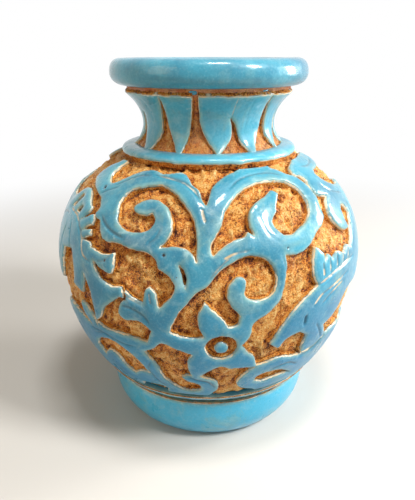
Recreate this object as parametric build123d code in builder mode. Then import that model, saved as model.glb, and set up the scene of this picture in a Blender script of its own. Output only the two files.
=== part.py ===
from build123d import *
import math
import os

os.makedirs("parts", exist_ok=True)

# Carved jar in millimetres, +Z up, with its origin at the middle of the foot's seat.
# The belly's profile is two arcs that meet at its widest height. Scrolls and birds stand over a sunk ground.
# Heights stack from the foot up, and the neck's and foot's radii follow from where the belly's wall ends.

# Belly
belly_radius = 107.0
upper_arc_radius = 76.3
lower_arc_radius = 132.5
relief_depth = 4.0
clay_wall = 8.0

# Foot
foot_height = 36.0
foot_tuck_width = 12.3
foot_wall = 12.0
foot_taper_width = 4.0
floor_thickness = 10.0
foot_curve_shares = ((0.66, 0.24), (0.94, 0.6))

# Shoulder and neck: each height is over the one before, and each width is a step in or out
band_height = 7.2
neck_ledge_width = 2.3
neck_batter_width = 1.8
waist_height = 13.3
waist_tuck_width = 7.1
collar_height = 19.3
collar_flare_width = 11.1
petal_depth = 3.0
neck_thickness = 6.2
throat_splay_width = 1.5
bare_band_height = 3.8
bare_band_step_width = 1.6

# Rolled lip
lip_height = 16.4
lip_upper_height = 9.0
lip_overhang_width = 10.4
lip_roll_width = 8.0
lip_bed_width = 9.6

# Places up the wall are latitudes in degrees. The reach, as a share of the arc's radius, is the height over or
# under the widest place at which latitude 90 would lie.
upper_reach_share = 1.118
lower_reach_share = 0.9132
foot_top_share = -45.3
fillet_low_share = -40.9
fillet_high_share = -38.6
carving_low_share = -36.8
shoulder_share = 52.86
carving_high_share = 54.8
band_edge_share = 56.2
band_crown_shares = (0.55, 0.86)

# Carving cones run toward the belly's centre, from outside the skin to inside it
cone_outer_share = 1.3
cone_inner_share = 0.62
quarter_turn = 90.0

# Outlines of the sunk pockets, each point an azimuth and a latitude in degrees, so a share of the turn and
# of the wall's arc. Azimuth 0 is the middle of the carved front. A row runs from one sharp corner of the
# outline to the next.
left_comb_shares = (
    ((-64.8, 43.4), (-60, 41), (-55, 39.2), (-51, 38)),
    ((-48.3, 37.2), (-46.4, 35), (-45.7, 33)),
    ((-46.5, 31), (-49.5, 29.4)),
    ((-54, 26.3), (-52, 28.8), (-50.4, 31)),
    ((-50.2, 32.7), (-53, 33.7), (-55.5, 36.4), (-60, 38.8), (-64, 38.4), (-68, 35.6), (-73, 32), (-82, 33)),
    ((-93, 36.5),),
    ((-93, 57),),
    ((-59.5, 57), (-60.5, 53.2), (-63.5, 51), (-65.3, 47.5)),
)
comb_slit_shares = (
    ((-67.5, 28.6), (-65.6, 32)),
    ((-63.2, 35.2),),
    ((-61.3, 34.8), (-63.7, 31.2)),
    ((-64.8, 29),),
)
comb_notch_shares = (
    ((-60.5, 28.4), (-59.3, 30)),
    ((-58.4, 31.3),),
    ((-56.8, 31),),
    ((-57.4, 28.2),),
)
crest_valley_shares = (
    ((-53.8, 57), (-54.1, 51), (-53, 46.6), (-48, 44.4), (-42.5, 47.6), (-38, 50.8), (-32, 53), (-27, 53),
     (-23, 52), (-18, 52.8), (-14, 53.3)),
    ((-10.5, 52.3), (-6.3, 47.6), (-4, 46), (-2.6, 43)),
    ((-1, 40), (0.2, 44), (1.4, 47.2), (5, 50.3), (9, 52.4), (15, 54.3)),
    ((22, 57),),
)
right_crest_shares = (
    ((33, 57), (35.2, 53.9), (38.3, 52.4), (41.3, 50)),
    ((45.3, 48.6), (46.4, 51.4), (50, 53), (55, 54.3)),
    ((64, 57),),
)
right_gap_shares = (
    ((46, 48.2), (48.6, 47.8), (50.3, 46), (49.8, 44.2)),
    ((48.4, 43), (47.2, 45.6)),
)
right_far_shares = (
    ((62.8, 45.8), (66, 47.3), (75, 47), (82, 48.2), (85.3, 51), (84.6, 54)),
    ((82, 57),),
    ((93, 57),),
    ((93, 36), (82, 35.8), (72, 38), (66, 41), (63.2, 43.6)),
)
right_hook_shares = (
    ((61.5, 28.4), (64.2, 29.7), (67.6, 28.4), (69.2, 25), (67.4, 22)),
    ((64.6, 19.8), (62.4, 21), (61.2, 24), (61.4, 26.4)),
)
left_volute_shares = (
    ((-15.5, 23.8), (-13.4, 26.6), (-12.2, 31), (-13.6, 36.2), (-17.2, 40.1), (-22, 41.3), (-27, 39.6),
     (-29, 36.8), (-26.4, 34.7), (-23, 34.8)),
    ((-20.6, 35.6), (-19.2, 33.2), (-20.4, 30), (-25, 28.1), (-30, 28.3), (-33.8, 30.8), (-35.4, 34.5),
     (-36.4, 38.5), (-34.4, 42.9), (-29, 45.4), (-20.5, 47), (-14, 44.2), (-8.4, 39.2), (-5, 33.6), (-3.9, 27)),
    ((-3.7, 19.3), (-5, 21.9), (-7.6, 24.1), (-11, 24.6)),
)
right_volute_shares = (
    ((1.4, 21.9), (0.7, 24.4), (2.6, 28.8), (4.8, 33.4), (6.2, 38), (10.4, 42.6), (16.4, 46.5), (23, 47.9),
     (30, 48.1), (37, 46.4), (41, 42.6), (41.6, 37), (39, 32), (34, 28.7), (27.6, 26.7), (24, 29), (22.9, 32.4)),
    ((25.7, 36.1), (27.2, 39)),
    ((29.7, 42.6), (27.4, 44.4), (22.4, 42.2), (17, 39.6), (14.2, 35.6), (14.1, 31.4)),
    ((15.1, 28.2), (13, 29.8)),
    ((11.8, 28.2), (8, 26.8), (4.2, 24.4)),
)
stem_slit_shares = (
    ((-9, 17.8), (-7.3, 15.5), (-6.6, 12.8)),
    ((-6.9, 9.4), (-7.7, 12), (-8.2, 14.8)),
)
middle_volute_shares = (
    ((-12, -6.8), (-10.2, -2.6), (-6.8, 2.5), (-3.6, 7.6), (-0.2, 10.2), (1.8, 13.7), (4.4, 16.8), (8.4, 19.4),
     (13, 20.9), (17.6, 19.2), (20.5, 15), (20.8, 9.6), (18.6, 5.2), (14, 4.1), (11, 6.4), (11.2, 12),
     (9.4, 13.7), (6.6, 11.6), (5.4, 6.6), (6.8, 2)),
    ((9.3, -1.4), (8.6, -4)),
    ((6, -4.6), (4.6, -2.5), (1.6, 0.5)),
    ((-1.2, 4.2), (-3.2, -1), (-3, -4.8)),
    ((-1.6, -7.6), (-5, -8.3), (-9, -7.8)),
)
left_ground_shares = (
    ((-45.6, 29.6), (-42.6, 28.8), (-40.4, 25.2), (-37.8, 22.4), (-31, 22.5), (-25, 21.4), (-20, 21.2),
     (-16.9, 19), (-15.6, 15.8), (-12, 13.2), (-10.2, 9.6), (-11, 6.2)),
    ((-15, 0.8), (-15.6, 4.5), (-16.5, 7.2)),
    ((-18, 8.8), (-19.4, 7.4)),
    ((-20.3, 1.8), (-23.5, 3)),
    ((-27.3, 6.6), (-31.6, 5.8), (-36.3, 7.2), (-38.8, 9.8)),
    ((-40.4, 13), (-38.2, 12), (-35, 10.5), (-32, 10.6), (-31.2, 14)),
    ((-31.8, 18.8), (-36, 17.4)),
    ((-42.9, 18.2), (-43.8, 19.6)),
    ((-48.9, 19.8),),
    ((-44.6, 22.2),),
    ((-45.2, 25), (-47.8, 24.2)),
    ((-50.4, 22.8), (-48, 25.2)),
    ((-45.6, 26.4),),
)
left_middle_shares = (
    ((-40.8, -9.6), (-38, -7.6), (-35.8, -4), (-32, -1), (-29.6, 1)),
    ((-28.4, 1.9),),
    ((-26.6, 1.8), (-28.6, -0.6), (-29.5, -3.6), (-27.2, -5.4), (-22, -4.8)),
    ((-18.2, -7.2), (-19.4, -9.8)),
    ((-20.2, -11.4), (-25, -10.9), (-31, -10.6), (-37, -11)),
)
left_low_shares = (
    ((-54.5, 13.3), (-52.6, 8.4), (-51.7, 3)),
    ((-52.6, -0.8), (-49.4, -1.5)),
    ((-46.2, -2.2), (-45.3, 1.4)),
    ((-45.1, 6.2), (-42.4, 1.4), (-41, -4.5)),
    ((-41, -10.6), (-43, -8), (-45.4, -5.7)),
    ((-48.6, -5.2), (-48.4, -8.6)),
    ((-44.6, -12.2), (-52, -10.8), (-60, -10.4), (-70, -12.8), (-80, -16)),
    ((-93, -18),),
    ((-93, -12), (-80, -9), (-71, -5.5), (-65, -1), (-63.4, 5)),
    ((-62.6, 10.8), (-59, 12.2)),
)
flower_ring_shares = (
    ((-1, -11.6), (0.6, -8.6), (4, -7.5), (7.4, -8.6), (9, -11.6), (7.4, -14.6), (4, -15.7), (0.6, -14.6)),
)
lower_scroll_shares = (
    ((-21.8, -15.6), (-18.4, -13.8), (-14.8, -11.1), (-11, -12.5)),
    ((-5.4, -14.3), (-7, -17), (-7.2, -20.6)),
    ((-6.2, -23.8), (-8.4, -24)),
    ((-10, -25), (-8, -27), (-4, -28.8), (-3.2, -31.8), (-6.8, -33.7), (-12, -31.9), (-16.4, -27),
     (-18.4, -20.6)),
)
foot_valley_shares = (
    ((-3, -23.8), (-0.4, -21.8), (4, -19.3), (7.4, -20.4), (11, -20.6)),
    ((16.5, -21), (13, -23.6), (10.9, -27), (11.2, -30.6), (14.5, -33.2), (18.6, -35)),
    ((22, -40),),
    ((-4, -40), (0.8, -36), (3.8, -31.4), (3, -27)),
)
right_ground_shares = (
    ((16.8, -20.3), (15.6, -17), (13.4, -14.4)),
    ((10.5, -11.5), (13.2, -8), (14, -4), (18, -1.8), (21.4, 1.2), (23.4, 6), (24.8, 13), (25.3, 16.6)),
    ((24.9, 19.4), (30, 18.8), (35.4, 21), (39.4, 24.4), (43.4, 26.5), (46.8, 29.4), (47.5, 33.5)),
    ((49.4, 38.4),),
    ((55.6, 36.4), (52.4, 33.6), (50.7, 29), (52.4, 24.6), (57, 20.6)),
    ((64, 19.7),),
    ((59.5, 12.6), (56, 15)),
    ((52.3, 12.3), (49.5, 14.6)),
    ((45, 12.8), (43.6, 15.2)),
    ((41.2, 13.6), (41, 16.4)),
    ((37.3, 20.4), (35.6, 15), (35, 9.4)),
    ((36.8, 4.4), (32, 0.8), (27.5, -2.5), (24, -6.4)),
    ((20, -12.5), (23.6, -14.6), (26.4, -11.9), (31, -11)),
    ((35, -13.3), (34.4, -17)),
    ((35.2, -21), (31, -20.4), (26, -19.2)),
)
right_low_shares = (
    ((43.5, -12), (47.5, -10.8), (51, -8.6), (54, -5.9), (58, -4.2), (66, -5), (78, -9.6)),
    ((93, -12),),
    ((93, -18), (80, -18.6), (66, -19.4), (54, -17.4)),
    ((47, -17.8), (45.4, -14.6)),
)
left_base_shares = (
    ((-47, -22), (-43.4, -18), (-37, -15.4), (-31, -16.5), (-26.4, -19.6)),
    ((-22.5, -25.6), (-26.6, -25.9)),
    ((-30, -28.6), (-33.6, -26), (-34.8, -22.4), (-38, -20.5), (-42, -22.6)),
    ((-45, -25.2),),
)
left_foot_shares = (
    ((-30, -34.4), (-25, -33), (-20, -32.5)),
    ((-17, -33.6), (-18, -36)),
    ((-19, -40),),
    ((-29, -40),),
)
right_base_shares = (
    ((18.2, -29), (18.3, -26.6), (22, -25.4), (28, -26.2)),
    ((35, -30.5), (29, -29.5), (22, -30.4)),
)
right_seam_shares = (
    ((90, 25), (84, 19), (82, 11), (85, 4)),
    ((90, -1), (95, 4), (98, 11), (96, 19)),
)
left_seam_shares = (
    ((-90, 25), (-96, 19), (-98, 11), (-95, 4)),
    ((-90, -1), (-85, 4), (-82, 11), (-84, 19)),
)
left_side_base_shares = (
    ((-104, -25), (-97, -22.6), (-90, -22), (-83, -22.6)),
    ((-76, -25), (-82, -27.6), (-90, -28.6), (-98, -27.6)),
)
right_side_base_shares = (
    ((76, -25), (83, -22.6), (90, -22), (97, -22.6)),
    ((104, -25), (98, -27.6), (90, -28.6), (82, -27.6)),
)
flower_boss_shares = (
    ((1.7, -11.6), (2.4, -10.2), (4, -9.7), (5.6, -10.2), (6.3, -11.6), (5.6, -13), (4, -13.5), (2.4, -13)),
)

# Cut lines that part a bird from the scrolls it overlaps
left_crest_crease_shares = (((-46.9, 31.6), (-45.1, 29.2)), ((-45.6, 28.9), (-47.2, 31.1)))
left_wing_crease_shares = (((-26.9, 7), (-26.3, 1.4)), ((-26.9, 1.3), (-27.6, 6.8)))
left_tail_crease_shares = (((-40.6, -9.2), (-40.7, -11)), ((-41.3, -11), (-41.3, -9)))
right_leaf_crease_shares = (((48.1, 43.6), (49, 37.9)), ((49.7, 38), (48.8, 43.6)))
right_tip_crease_shares = (((45, 48.9), (46.3, 48.6)), ((46.3, 47.9), (45.1, 48.2)))
right_leg_crease_shares = (((34.8, -21.3), (41, -21.2), (47.4, -18.2)), ((47.4, -17.2), (41, -20.3), (34.8, -20.6)))

front_pockets = (
    left_comb_shares,
    comb_slit_shares,
    comb_notch_shares,
    crest_valley_shares,
    right_crest_shares,
    right_gap_shares,
    right_far_shares,
    right_hook_shares,
    left_volute_shares,
    right_volute_shares,
    stem_slit_shares,
    middle_volute_shares,
    left_ground_shares,
    left_middle_shares,
    left_low_shares,
    flower_ring_shares,
    lower_scroll_shares,
    foot_valley_shares,
    right_ground_shares,
    right_low_shares,
    left_base_shares,
    left_foot_shares,
    right_base_shares,
    left_seam_shares,
    right_seam_shares,
    left_side_base_shares,
    right_side_base_shares,
    left_crest_crease_shares,
    left_wing_crease_shares,
    left_tail_crease_shares,
    right_leaf_crease_shares,
    right_tip_crease_shares,
    right_leg_crease_shares,
)

# Collar pockets: across as a share of the pitch at the collar's foot, up as a share of the collar's height
horn_shares = (
    ((-0.5, -0.1), (-0.47, 0), (-0.36, 0.14), (-0.23, 0.3), (-0.2, 0.45), (-0.12, 0.74)),
    ((0.03, 0.95), (-0.02, 0.73), (-0.01, 0.45), (0.14, 0.23), (0.42, 0)),
    ((0.5, -0.1),),
)
slot_shares = (
    ((-0.5, -0.1), (-0.46, 0), (-0.33, 0.2), (-0.24, 0.45), (-0.18, 0.74)),
    ((-0.08, 1.1),),
    ((0.03, 1.1), (0, 0.73), (0.02, 0.45), (0.2, 0.22), (0.47, 0)),
    ((0.5, -0.1),),
)
# Azimuth of each pocket, which way it leans, and how far up it reaches
collar_pocket_shares = (
    (-65, 1, 0.66),
    (-34, 1, 1),
    (18, -1, 0.62),
    (46, -1, 1),
    (71, -1, 0.8),
    (96, -1, 1),
    (121, 1, 0.7),
    (146, 1, 1),
    (170, -1, 0.62),
    (195, 1, 0.9),
    (220, 1, 1),
    (245, -1, 0.75),
    (270, 1, 0.95),
)
slot_azimuth_shares = (-7,)
collar_pocket_count = len(collar_pocket_shares) + len(slot_azimuth_shares)


def arc_radius(upper, depth):
    """Radius of the wall's upper or lower arc, sunk by a depth."""
    return (upper_arc_radius if upper else lower_arc_radius) - depth


def arc_centre(upper):
    """Centre of the wall's upper or lower arc in the upright section."""
    return (belly_radius - arc_radius(upper, 0), belly_height)


def rise_of(latitude):
    """Height of a latitude over the widest place."""
    reach_share = upper_reach_share if latitude > 0 else lower_reach_share
    return arc_radius(latitude > 0, 0) * reach_share * math.sin(math.radians(latitude))


def tilt_at(height, depth):
    """Angle up the arc where the wall, sunk by a depth, has a height."""
    upper = height > belly_height
    return math.degrees(math.asin((height - belly_height) / arc_radius(upper, depth)))


def tilt_near_top(radius, depth):
    """Angle up the upper arc where the wall, sunk by a depth, has narrowed to a radius."""
    centre_radius = arc_centre(True)[0]
    return math.degrees(math.acos((radius - centre_radius) / arc_radius(True, depth)))


def tilt_of(latitude):
    """Angle up the arc of a latitude."""
    return tilt_at(belly_height + rise_of(latitude), 0)


def wall_point(tilt, depth):
    """Radius and height of the wall, sunk by a depth, at an angle up its arc."""
    upper = tilt > 0
    centre_radius, centre_height = arc_centre(upper)
    swing = math.radians(tilt)
    radius = centre_radius + arc_radius(upper, depth) * math.cos(swing)
    return (radius, centre_height + arc_radius(upper, depth) * math.sin(swing))


def skin_point(azimuth, latitude):
    """Point of the carved skin at an azimuth and a latitude."""
    radius, height = wall_point(tilt_of(latitude), 0)
    turn = math.radians(azimuth)
    return Vector(radius * math.sin(turn), -radius * math.cos(turn), height)


def wall_arc(low, high, depth):
    """Draws the wall's profile, sunk by a depth, between two angles."""
    if low < 0:
        CenterArc(arc_centre(False), arc_radius(False, depth), low, min(high, 0) - low)
    if high > 0:
        start = max(low, 0)
        CenterArc(arc_centre(True), arc_radius(True, depth), start, high - start)


def skin_profile(low, high, depth):
    """Draws the closed section of a skin of some depth between two angles."""
    wall_arc(low, high, 0)
    wall_arc(low, high, depth)
    for tilt in (low, high):
        Line(wall_point(tilt, 0), wall_point(tilt, depth))


def outline(rows):
    """Draws the closed outline that a carver cuts in short straight strokes."""
    Polyline(*[point for row in rows for point in row], close=True)


def carving_plane(rows):
    """Plane that faces the belly's centre over the middle of an outline."""
    points = [skin_point(*point) - belly_centre for row in rows for point in row]
    facing = sum((point.normalized() for point in points), Vector(0, 0, 0)).normalized()
    across = Vector(0, 0, 1).cross(facing).normalized()
    origin = belly_centre + facing * (belly_radius * cone_outer_share)
    return Plane(origin=origin, x_dir=across, z_dir=facing)


def on_plane(plane, azimuth, latitude):
    """Where the line from the belly's centre through a skin point meets the plane."""
    ray = skin_point(azimuth, latitude) - belly_centre
    reach = (plane.origin - belly_centre).length / ray.dot(plane.z_dir)
    local = plane.to_local_coords(belly_centre + ray * reach)
    return (local.X, local.Y)


def carving_cone(rows, mode):
    """Cone toward the belly's centre on an outline, cut from the current part or kept of it."""
    outer_plane = carving_plane(rows)
    shrink = cone_inner_share / cone_outer_share
    inner_plane = outer_plane.offset(-belly_radius * (cone_outer_share - cone_inner_share))
    flat = [[on_plane(outer_plane, *point) for point in row] for row in rows]
    small = [[(across * shrink, up * shrink) for across, up in row] for row in flat]
    with BuildSketch(outer_plane) as wide_end:
        with BuildLine():
            outline(flat)
        make_face()
    with BuildSketch(inner_plane) as narrow_end:
        with BuildLine():
            outline(small)
        make_face()
    loft([wide_end.sketch.face(), narrow_end.sketch.face()], ruled=True, mode=mode)


def facing_plane(azimuth, height):
    """Upright plane through the axis, looking out along an azimuth."""
    turn = math.radians(azimuth)
    across = (math.cos(turn), math.sin(turn), 0)
    out = (math.sin(turn), -math.cos(turn), 0)
    return Plane(origin=(0, 0, height), x_dir=across, z_dir=out)


# Heights up the jar
belly_height = foot_height - rise_of(foot_top_share)
belly_centre = Vector(0, 0, belly_height)
shoulder_height = belly_height + rise_of(shoulder_share)
band_top_height = shoulder_height + band_height
waist_at_height = band_top_height + waist_height
collar_top_height = waist_at_height + collar_height
lip_seat_height = collar_top_height + bare_band_height
total_height = lip_seat_height + lip_height

# Foot: hollow ring whose outside swells up to the belly
foot_top_radius = wall_point(tilt_of(foot_top_share), 0)[0]
foot_seat_radius = foot_top_radius - foot_tuck_width
foot_inner_seat = foot_seat_radius - foot_wall
foot_inner_top = foot_inner_seat + foot_taper_width
foot_curve = [
    (foot_seat_radius + out * (foot_top_radius - foot_seat_radius), up * foot_height)
    for out, up in foot_curve_shares
]
with BuildPart() as foot_ring:
    with BuildSketch(Plane.XZ):
        with BuildLine():
            Spline((foot_seat_radius, 0), *foot_curve, (foot_top_radius, foot_height))
            Polyline(
                (foot_top_radius, foot_height),
                (foot_inner_top, foot_height),
                (foot_inner_seat, 0),
                (foot_seat_radius, 0),
            )
        make_face()
    revolve(axis=Axis.Z)

# Radii up the neck and lip
ground_depth = relief_depth
inner_depth = relief_depth + clay_wall
body_high = tilt_at(shoulder_height, ground_depth)
shoulder_ground_radius = wall_point(body_high, ground_depth)[0]
neck_root_radius = shoulder_ground_radius - neck_ledge_width
neck_base_radius = neck_root_radius - neck_batter_width
waist_radius = neck_base_radius - waist_tuck_width
collar_top_radius = waist_radius + collar_flare_width
throat_radius = waist_radius - petal_depth - neck_thickness
throat_root_radius = throat_radius + throat_splay_width
bare_band_radius = collar_top_radius - bare_band_step_width
mouth_radius = bare_band_radius - lip_bed_width
lip_radius = bare_band_radius + lip_overhang_width
lip_crest_radius = lip_radius - lip_roll_width

# Body: hollow wall with its floor, the sunk ground of the carving outside
body_low = tilt_at(foot_height, ground_depth)
floor_height = foot_height + floor_thickness
cavity_low = tilt_at(floor_height, inner_depth)
cavity_high = tilt_near_top(throat_root_radius, inner_depth)
with BuildPart() as body_wall:
    with BuildSketch(Plane.XZ):
        with BuildLine():
            wall_arc(body_low, body_high, ground_depth)
            wall_arc(cavity_low, cavity_high, inner_depth)
            Polyline(
                (shoulder_ground_radius, shoulder_height),
                (throat_root_radius, shoulder_height),
                wall_point(cavity_high, inner_depth),
            )
            Polyline(
                wall_point(cavity_low, inner_depth),
                (0, floor_height),
                (0, foot_height),
                wall_point(body_low, ground_depth),
            )
        make_face()
    revolve(axis=Axis.Z)

# Bead round the body just over the foot
with BuildPart() as foot_fillet:
    with BuildSketch(Plane.XZ):
        with BuildLine():
            skin_profile(tilt_of(fillet_low_share), tilt_of(fillet_high_share), relief_depth)
        make_face()
    revolve(axis=Axis.Z)

# Neck: clay wall, bare between the petals and in a band under the lip
collar_outside = [
    (neck_base_radius, band_top_height),
    (waist_radius, waist_at_height),
    (collar_top_radius, collar_top_height),
]
collar_inside = [(radius - petal_depth, height) for radius, height in collar_outside]
with BuildPart() as neck_wall:
    with BuildSketch(Plane.XZ):
        with BuildLine():
            Line((neck_root_radius, shoulder_height), collar_inside[0])
            Spline(*collar_inside)
            Polyline(collar_inside[-1], (bare_band_radius, lip_seat_height), (mouth_radius, lip_seat_height))
            Spline(
                (mouth_radius, lip_seat_height),
                (throat_radius, waist_at_height),
                (throat_root_radius, shoulder_height),
            )
            Line((throat_root_radius, shoulder_height), (neck_root_radius, shoulder_height))
        make_face()
    revolve(axis=Axis.Z)

# Collar of petals round the neck, cut by curved horns and one open slot
collar_pitch = neck_base_radius * math.tau / collar_pocket_count


def collar_cut(rows, azimuth, lean, rise):
    """Cuts one pocket out of the current collar."""
    full_rise = collar_top_height - band_top_height
    placed = [[(lean * across * collar_pitch, rise * up * full_rise) for across, up in row] for row in rows]
    with BuildSketch(facing_plane(azimuth, band_top_height)) as pocket:
        with BuildLine():
            outline(placed)
        make_face()
    extrude(pocket.sketch, amount=lip_radius, mode=Mode.SUBTRACT)


with BuildPart() as neck_petals:
    with BuildSketch(Plane.XZ):
        with BuildLine():
            Spline(*collar_outside)
            Spline(*collar_inside)
            Line(collar_outside[0], collar_inside[0])
            Line(collar_outside[-1], collar_inside[-1])
        make_face()
    revolve(axis=Axis.Z)
    for azimuth, lean, rise in collar_pocket_shares:
        collar_cut(horn_shares, azimuth, lean, rise)
    for azimuth in slot_azimuth_shares:
        collar_cut(slot_shares, azimuth, 1, 1)

# Shoulder band: ring that beds on the body and round the neck's root
band_edge_tilt = tilt_of(band_edge_share)
band_edge_radius, band_edge_height = wall_point(band_edge_tilt, 0)
crown_out, crown_up = band_crown_shares
band_crown = (
    neck_base_radius + crown_out * (band_edge_radius - neck_base_radius),
    band_edge_height + crown_up * (band_top_height - band_edge_height),
)
with BuildPart() as shoulder_band:
    with BuildSketch(Plane.XZ):
        with BuildLine():
            Spline((band_edge_radius, band_edge_height), band_crown, (neck_base_radius, band_top_height))
            Polyline(
                (neck_base_radius, band_top_height),
                collar_inside[0],
                (neck_root_radius, shoulder_height),
                (shoulder_ground_radius, shoulder_height),
            )
            wall_arc(band_edge_tilt, body_high, ground_depth)
            Line(wall_point(band_edge_tilt, ground_depth), (band_edge_radius, band_edge_height))
        make_face()
    revolve(axis=Axis.Z)

# Lip: rolled rim with a short straight mouth
lip_widest_height = total_height - lip_upper_height
with BuildPart() as lip_roll:
    with BuildSketch(Plane.XZ):
        with BuildLine():
            mouth_width = lip_crest_radius - mouth_radius
            widest = (lip_crest_radius, lip_widest_height)
            lower_rise = lip_widest_height - lip_seat_height
            EllipticalCenterArc(widest, lip_roll_width, lower_rise, -quarter_turn, arc_size=quarter_turn)
            EllipticalCenterArc(widest, lip_roll_width, lip_upper_height, 0, arc_size=quarter_turn)
            EllipticalCenterArc(widest, mouth_width, lip_upper_height, quarter_turn, arc_size=quarter_turn)
            Polyline(
                (mouth_radius, lip_widest_height),
                (mouth_radius, lip_seat_height),
                (lip_crest_radius, lip_seat_height),
            )
        make_face()
    revolve(axis=Axis.Z)

# Carved skin of the front half, from one side round to the other
left_plane = Plane(origin=(0, 0, 0), x_dir=(-1, 0, 0), z_dir=(0, 1, 0))
carving_low = tilt_of(carving_low_share)
carving_high = tilt_of(carving_high_share)
with BuildPart() as front_carving:
    with BuildSketch(left_plane):
        with BuildLine():
            skin_profile(carving_low, carving_high, relief_depth)
        make_face()
    revolve(axis=Axis.Z, revolution_arc=2 * quarter_turn)
    for pocket in front_pockets:
        carving_cone(pocket, Mode.SUBTRACT)

figures = front_carving.part.solids().sort_by(Axis.X)
with BuildPart() as front_left_bird:
    add(figures[0])
with BuildPart() as front_right_bird:
    add(figures[-1])
with BuildPart() as front_scroll_tree:
    add(figures[1:-1])

# Boss in the middle of the ring pocket
with BuildPart() as front_boss:
    with BuildSketch(left_plane):
        with BuildLine():
            skin_profile(carving_low, carving_high, relief_depth)
        make_face()
    revolve(axis=Axis.Z, revolution_arc=2 * quarter_turn)
    carving_cone(flower_boss_shares, Mode.INTERSECT)

half_turn = Rotation(0, 0, 2 * quarter_turn)
with BuildPart() as flower_bosses:
    add(front_boss.part)
    with Locations(half_turn):
        add(front_boss.part)
with BuildPart() as back_left_bird:
    with Locations(half_turn):
        add(front_left_bird.part)
with BuildPart() as back_right_bird:
    with Locations(half_turn):
        add(front_right_bird.part)
with BuildPart() as back_scroll_tree:
    with Locations(half_turn):
        add(front_scroll_tree.part)

pieces = {
    "foot_ring": foot_ring,
    "foot_fillet": foot_fillet,
    "body_wall": body_wall,
    "front_scroll_tree": front_scroll_tree,
    "front_left_bird": front_left_bird,
    "front_right_bird": front_right_bird,
    "back_scroll_tree": back_scroll_tree,
    "back_left_bird": back_left_bird,
    "back_right_bird": back_right_bird,
    "flower_bosses": flower_bosses,
    "shoulder_band": shoulder_band,
    "neck_wall": neck_wall,
    "neck_petals": neck_petals,
    "lip_roll": lip_roll,
}
for name, piece in pieces.items():
    piece.part.label = name
    export_step(piece.part, f"parts/{name}.step")
print("figures", len(figures), "height", round(total_height, 2), "neck", round(neck_base_radius, 2))
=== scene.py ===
import math

import bpy
import numpy as np
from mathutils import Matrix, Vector


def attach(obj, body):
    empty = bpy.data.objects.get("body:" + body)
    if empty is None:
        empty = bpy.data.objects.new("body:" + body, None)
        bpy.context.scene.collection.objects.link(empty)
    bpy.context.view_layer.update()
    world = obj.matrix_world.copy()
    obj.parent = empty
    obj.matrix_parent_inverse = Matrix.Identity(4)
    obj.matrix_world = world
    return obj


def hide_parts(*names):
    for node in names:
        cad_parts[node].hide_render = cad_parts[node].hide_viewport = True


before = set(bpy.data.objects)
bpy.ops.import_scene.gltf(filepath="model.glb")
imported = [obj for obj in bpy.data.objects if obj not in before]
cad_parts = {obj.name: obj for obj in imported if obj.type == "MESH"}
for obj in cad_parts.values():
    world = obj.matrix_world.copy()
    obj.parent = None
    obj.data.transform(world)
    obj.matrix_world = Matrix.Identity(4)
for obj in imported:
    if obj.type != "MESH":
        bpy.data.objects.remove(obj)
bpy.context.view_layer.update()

MM = 0.001
FAR = 9.0  # mm from an edge, beyond which the distance no longer matters
AXIS = 0.05  # radius in mm of the points that close a section at the jar's axis

# -------------------- the wall, as in the part
BELLY_R, BELLY_Z = 107.0, 122.0
ARC_UP, ARC_LOW = 76.3, 132.5
REACH_UP, REACH_LOW = 85.3, 121.0
SUNK = 4.0
HOLLOW = 12.0  # depth of the body's inside under the smooth skin
CARVE_LOW, CARVE_HIGH = -36.8, 54.8
BAND_LAT = 56.2
FILLET_LOW, FILLET_HIGH = -40.9, -38.6
FOOT_TOP, FLOOR_TOP, BODY_TOP = 36.0, 46.0, 190.0


def tilt(lat):
    """Angle on the wall's arc in radians at a latitude seen from the belly's centre."""
    lat = np.radians(np.asarray(lat, float))
    up = REACH_UP * np.sin(np.maximum(lat, 0)) / ARC_UP
    low = REACH_LOW * np.sin(np.minimum(lat, 0)) / ARC_LOW
    return np.arcsin(np.clip(up + low, -1, 1))


def arc_length(lat):
    """Length up the wall from its widest place, in mm."""
    return np.where(np.asarray(lat, float) > 0, ARC_UP, ARC_LOW) * tilt(lat)


LATS = np.linspace(-50, 62, 2241)
ARCS = arc_length(LATS)


def lat_at(s):
    """Latitude at a length up the wall."""
    return np.interp(s, ARCS, LATS)


def profile_at(t, depth=0.0):
    """Radius and height of the wall at an angle on its arc, sunk by a depth."""
    arc = np.where(np.asarray(t) > 0, ARC_UP, ARC_LOW)
    return BELLY_R - arc + (arc - depth) * np.cos(t), BELLY_Z + (arc - depth) * np.sin(t)


def around(az, r=1.0, z=0.0):
    """Points at azimuths in degrees from the front, at radii and heights."""
    a = np.radians(az)
    return np.stack([r * np.sin(a), -r * np.cos(a), z + 0 * a], axis=-1)


def wall(az, lat, depth=0.0):
    """Points of the wall in mm, sunk by a depth."""
    return around(az, *profile_at(tilt(lat), depth))


def azimuths(cols):
    return np.linspace(0, 360, cols + 1)[:-1]


def turned(profile, cols):
    """Grid of points of a profile of radii and heights turned round the axis."""
    r, z = np.array(profile, float).T[:, :, None]
    return around(azimuths(cols), r, z)


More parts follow.
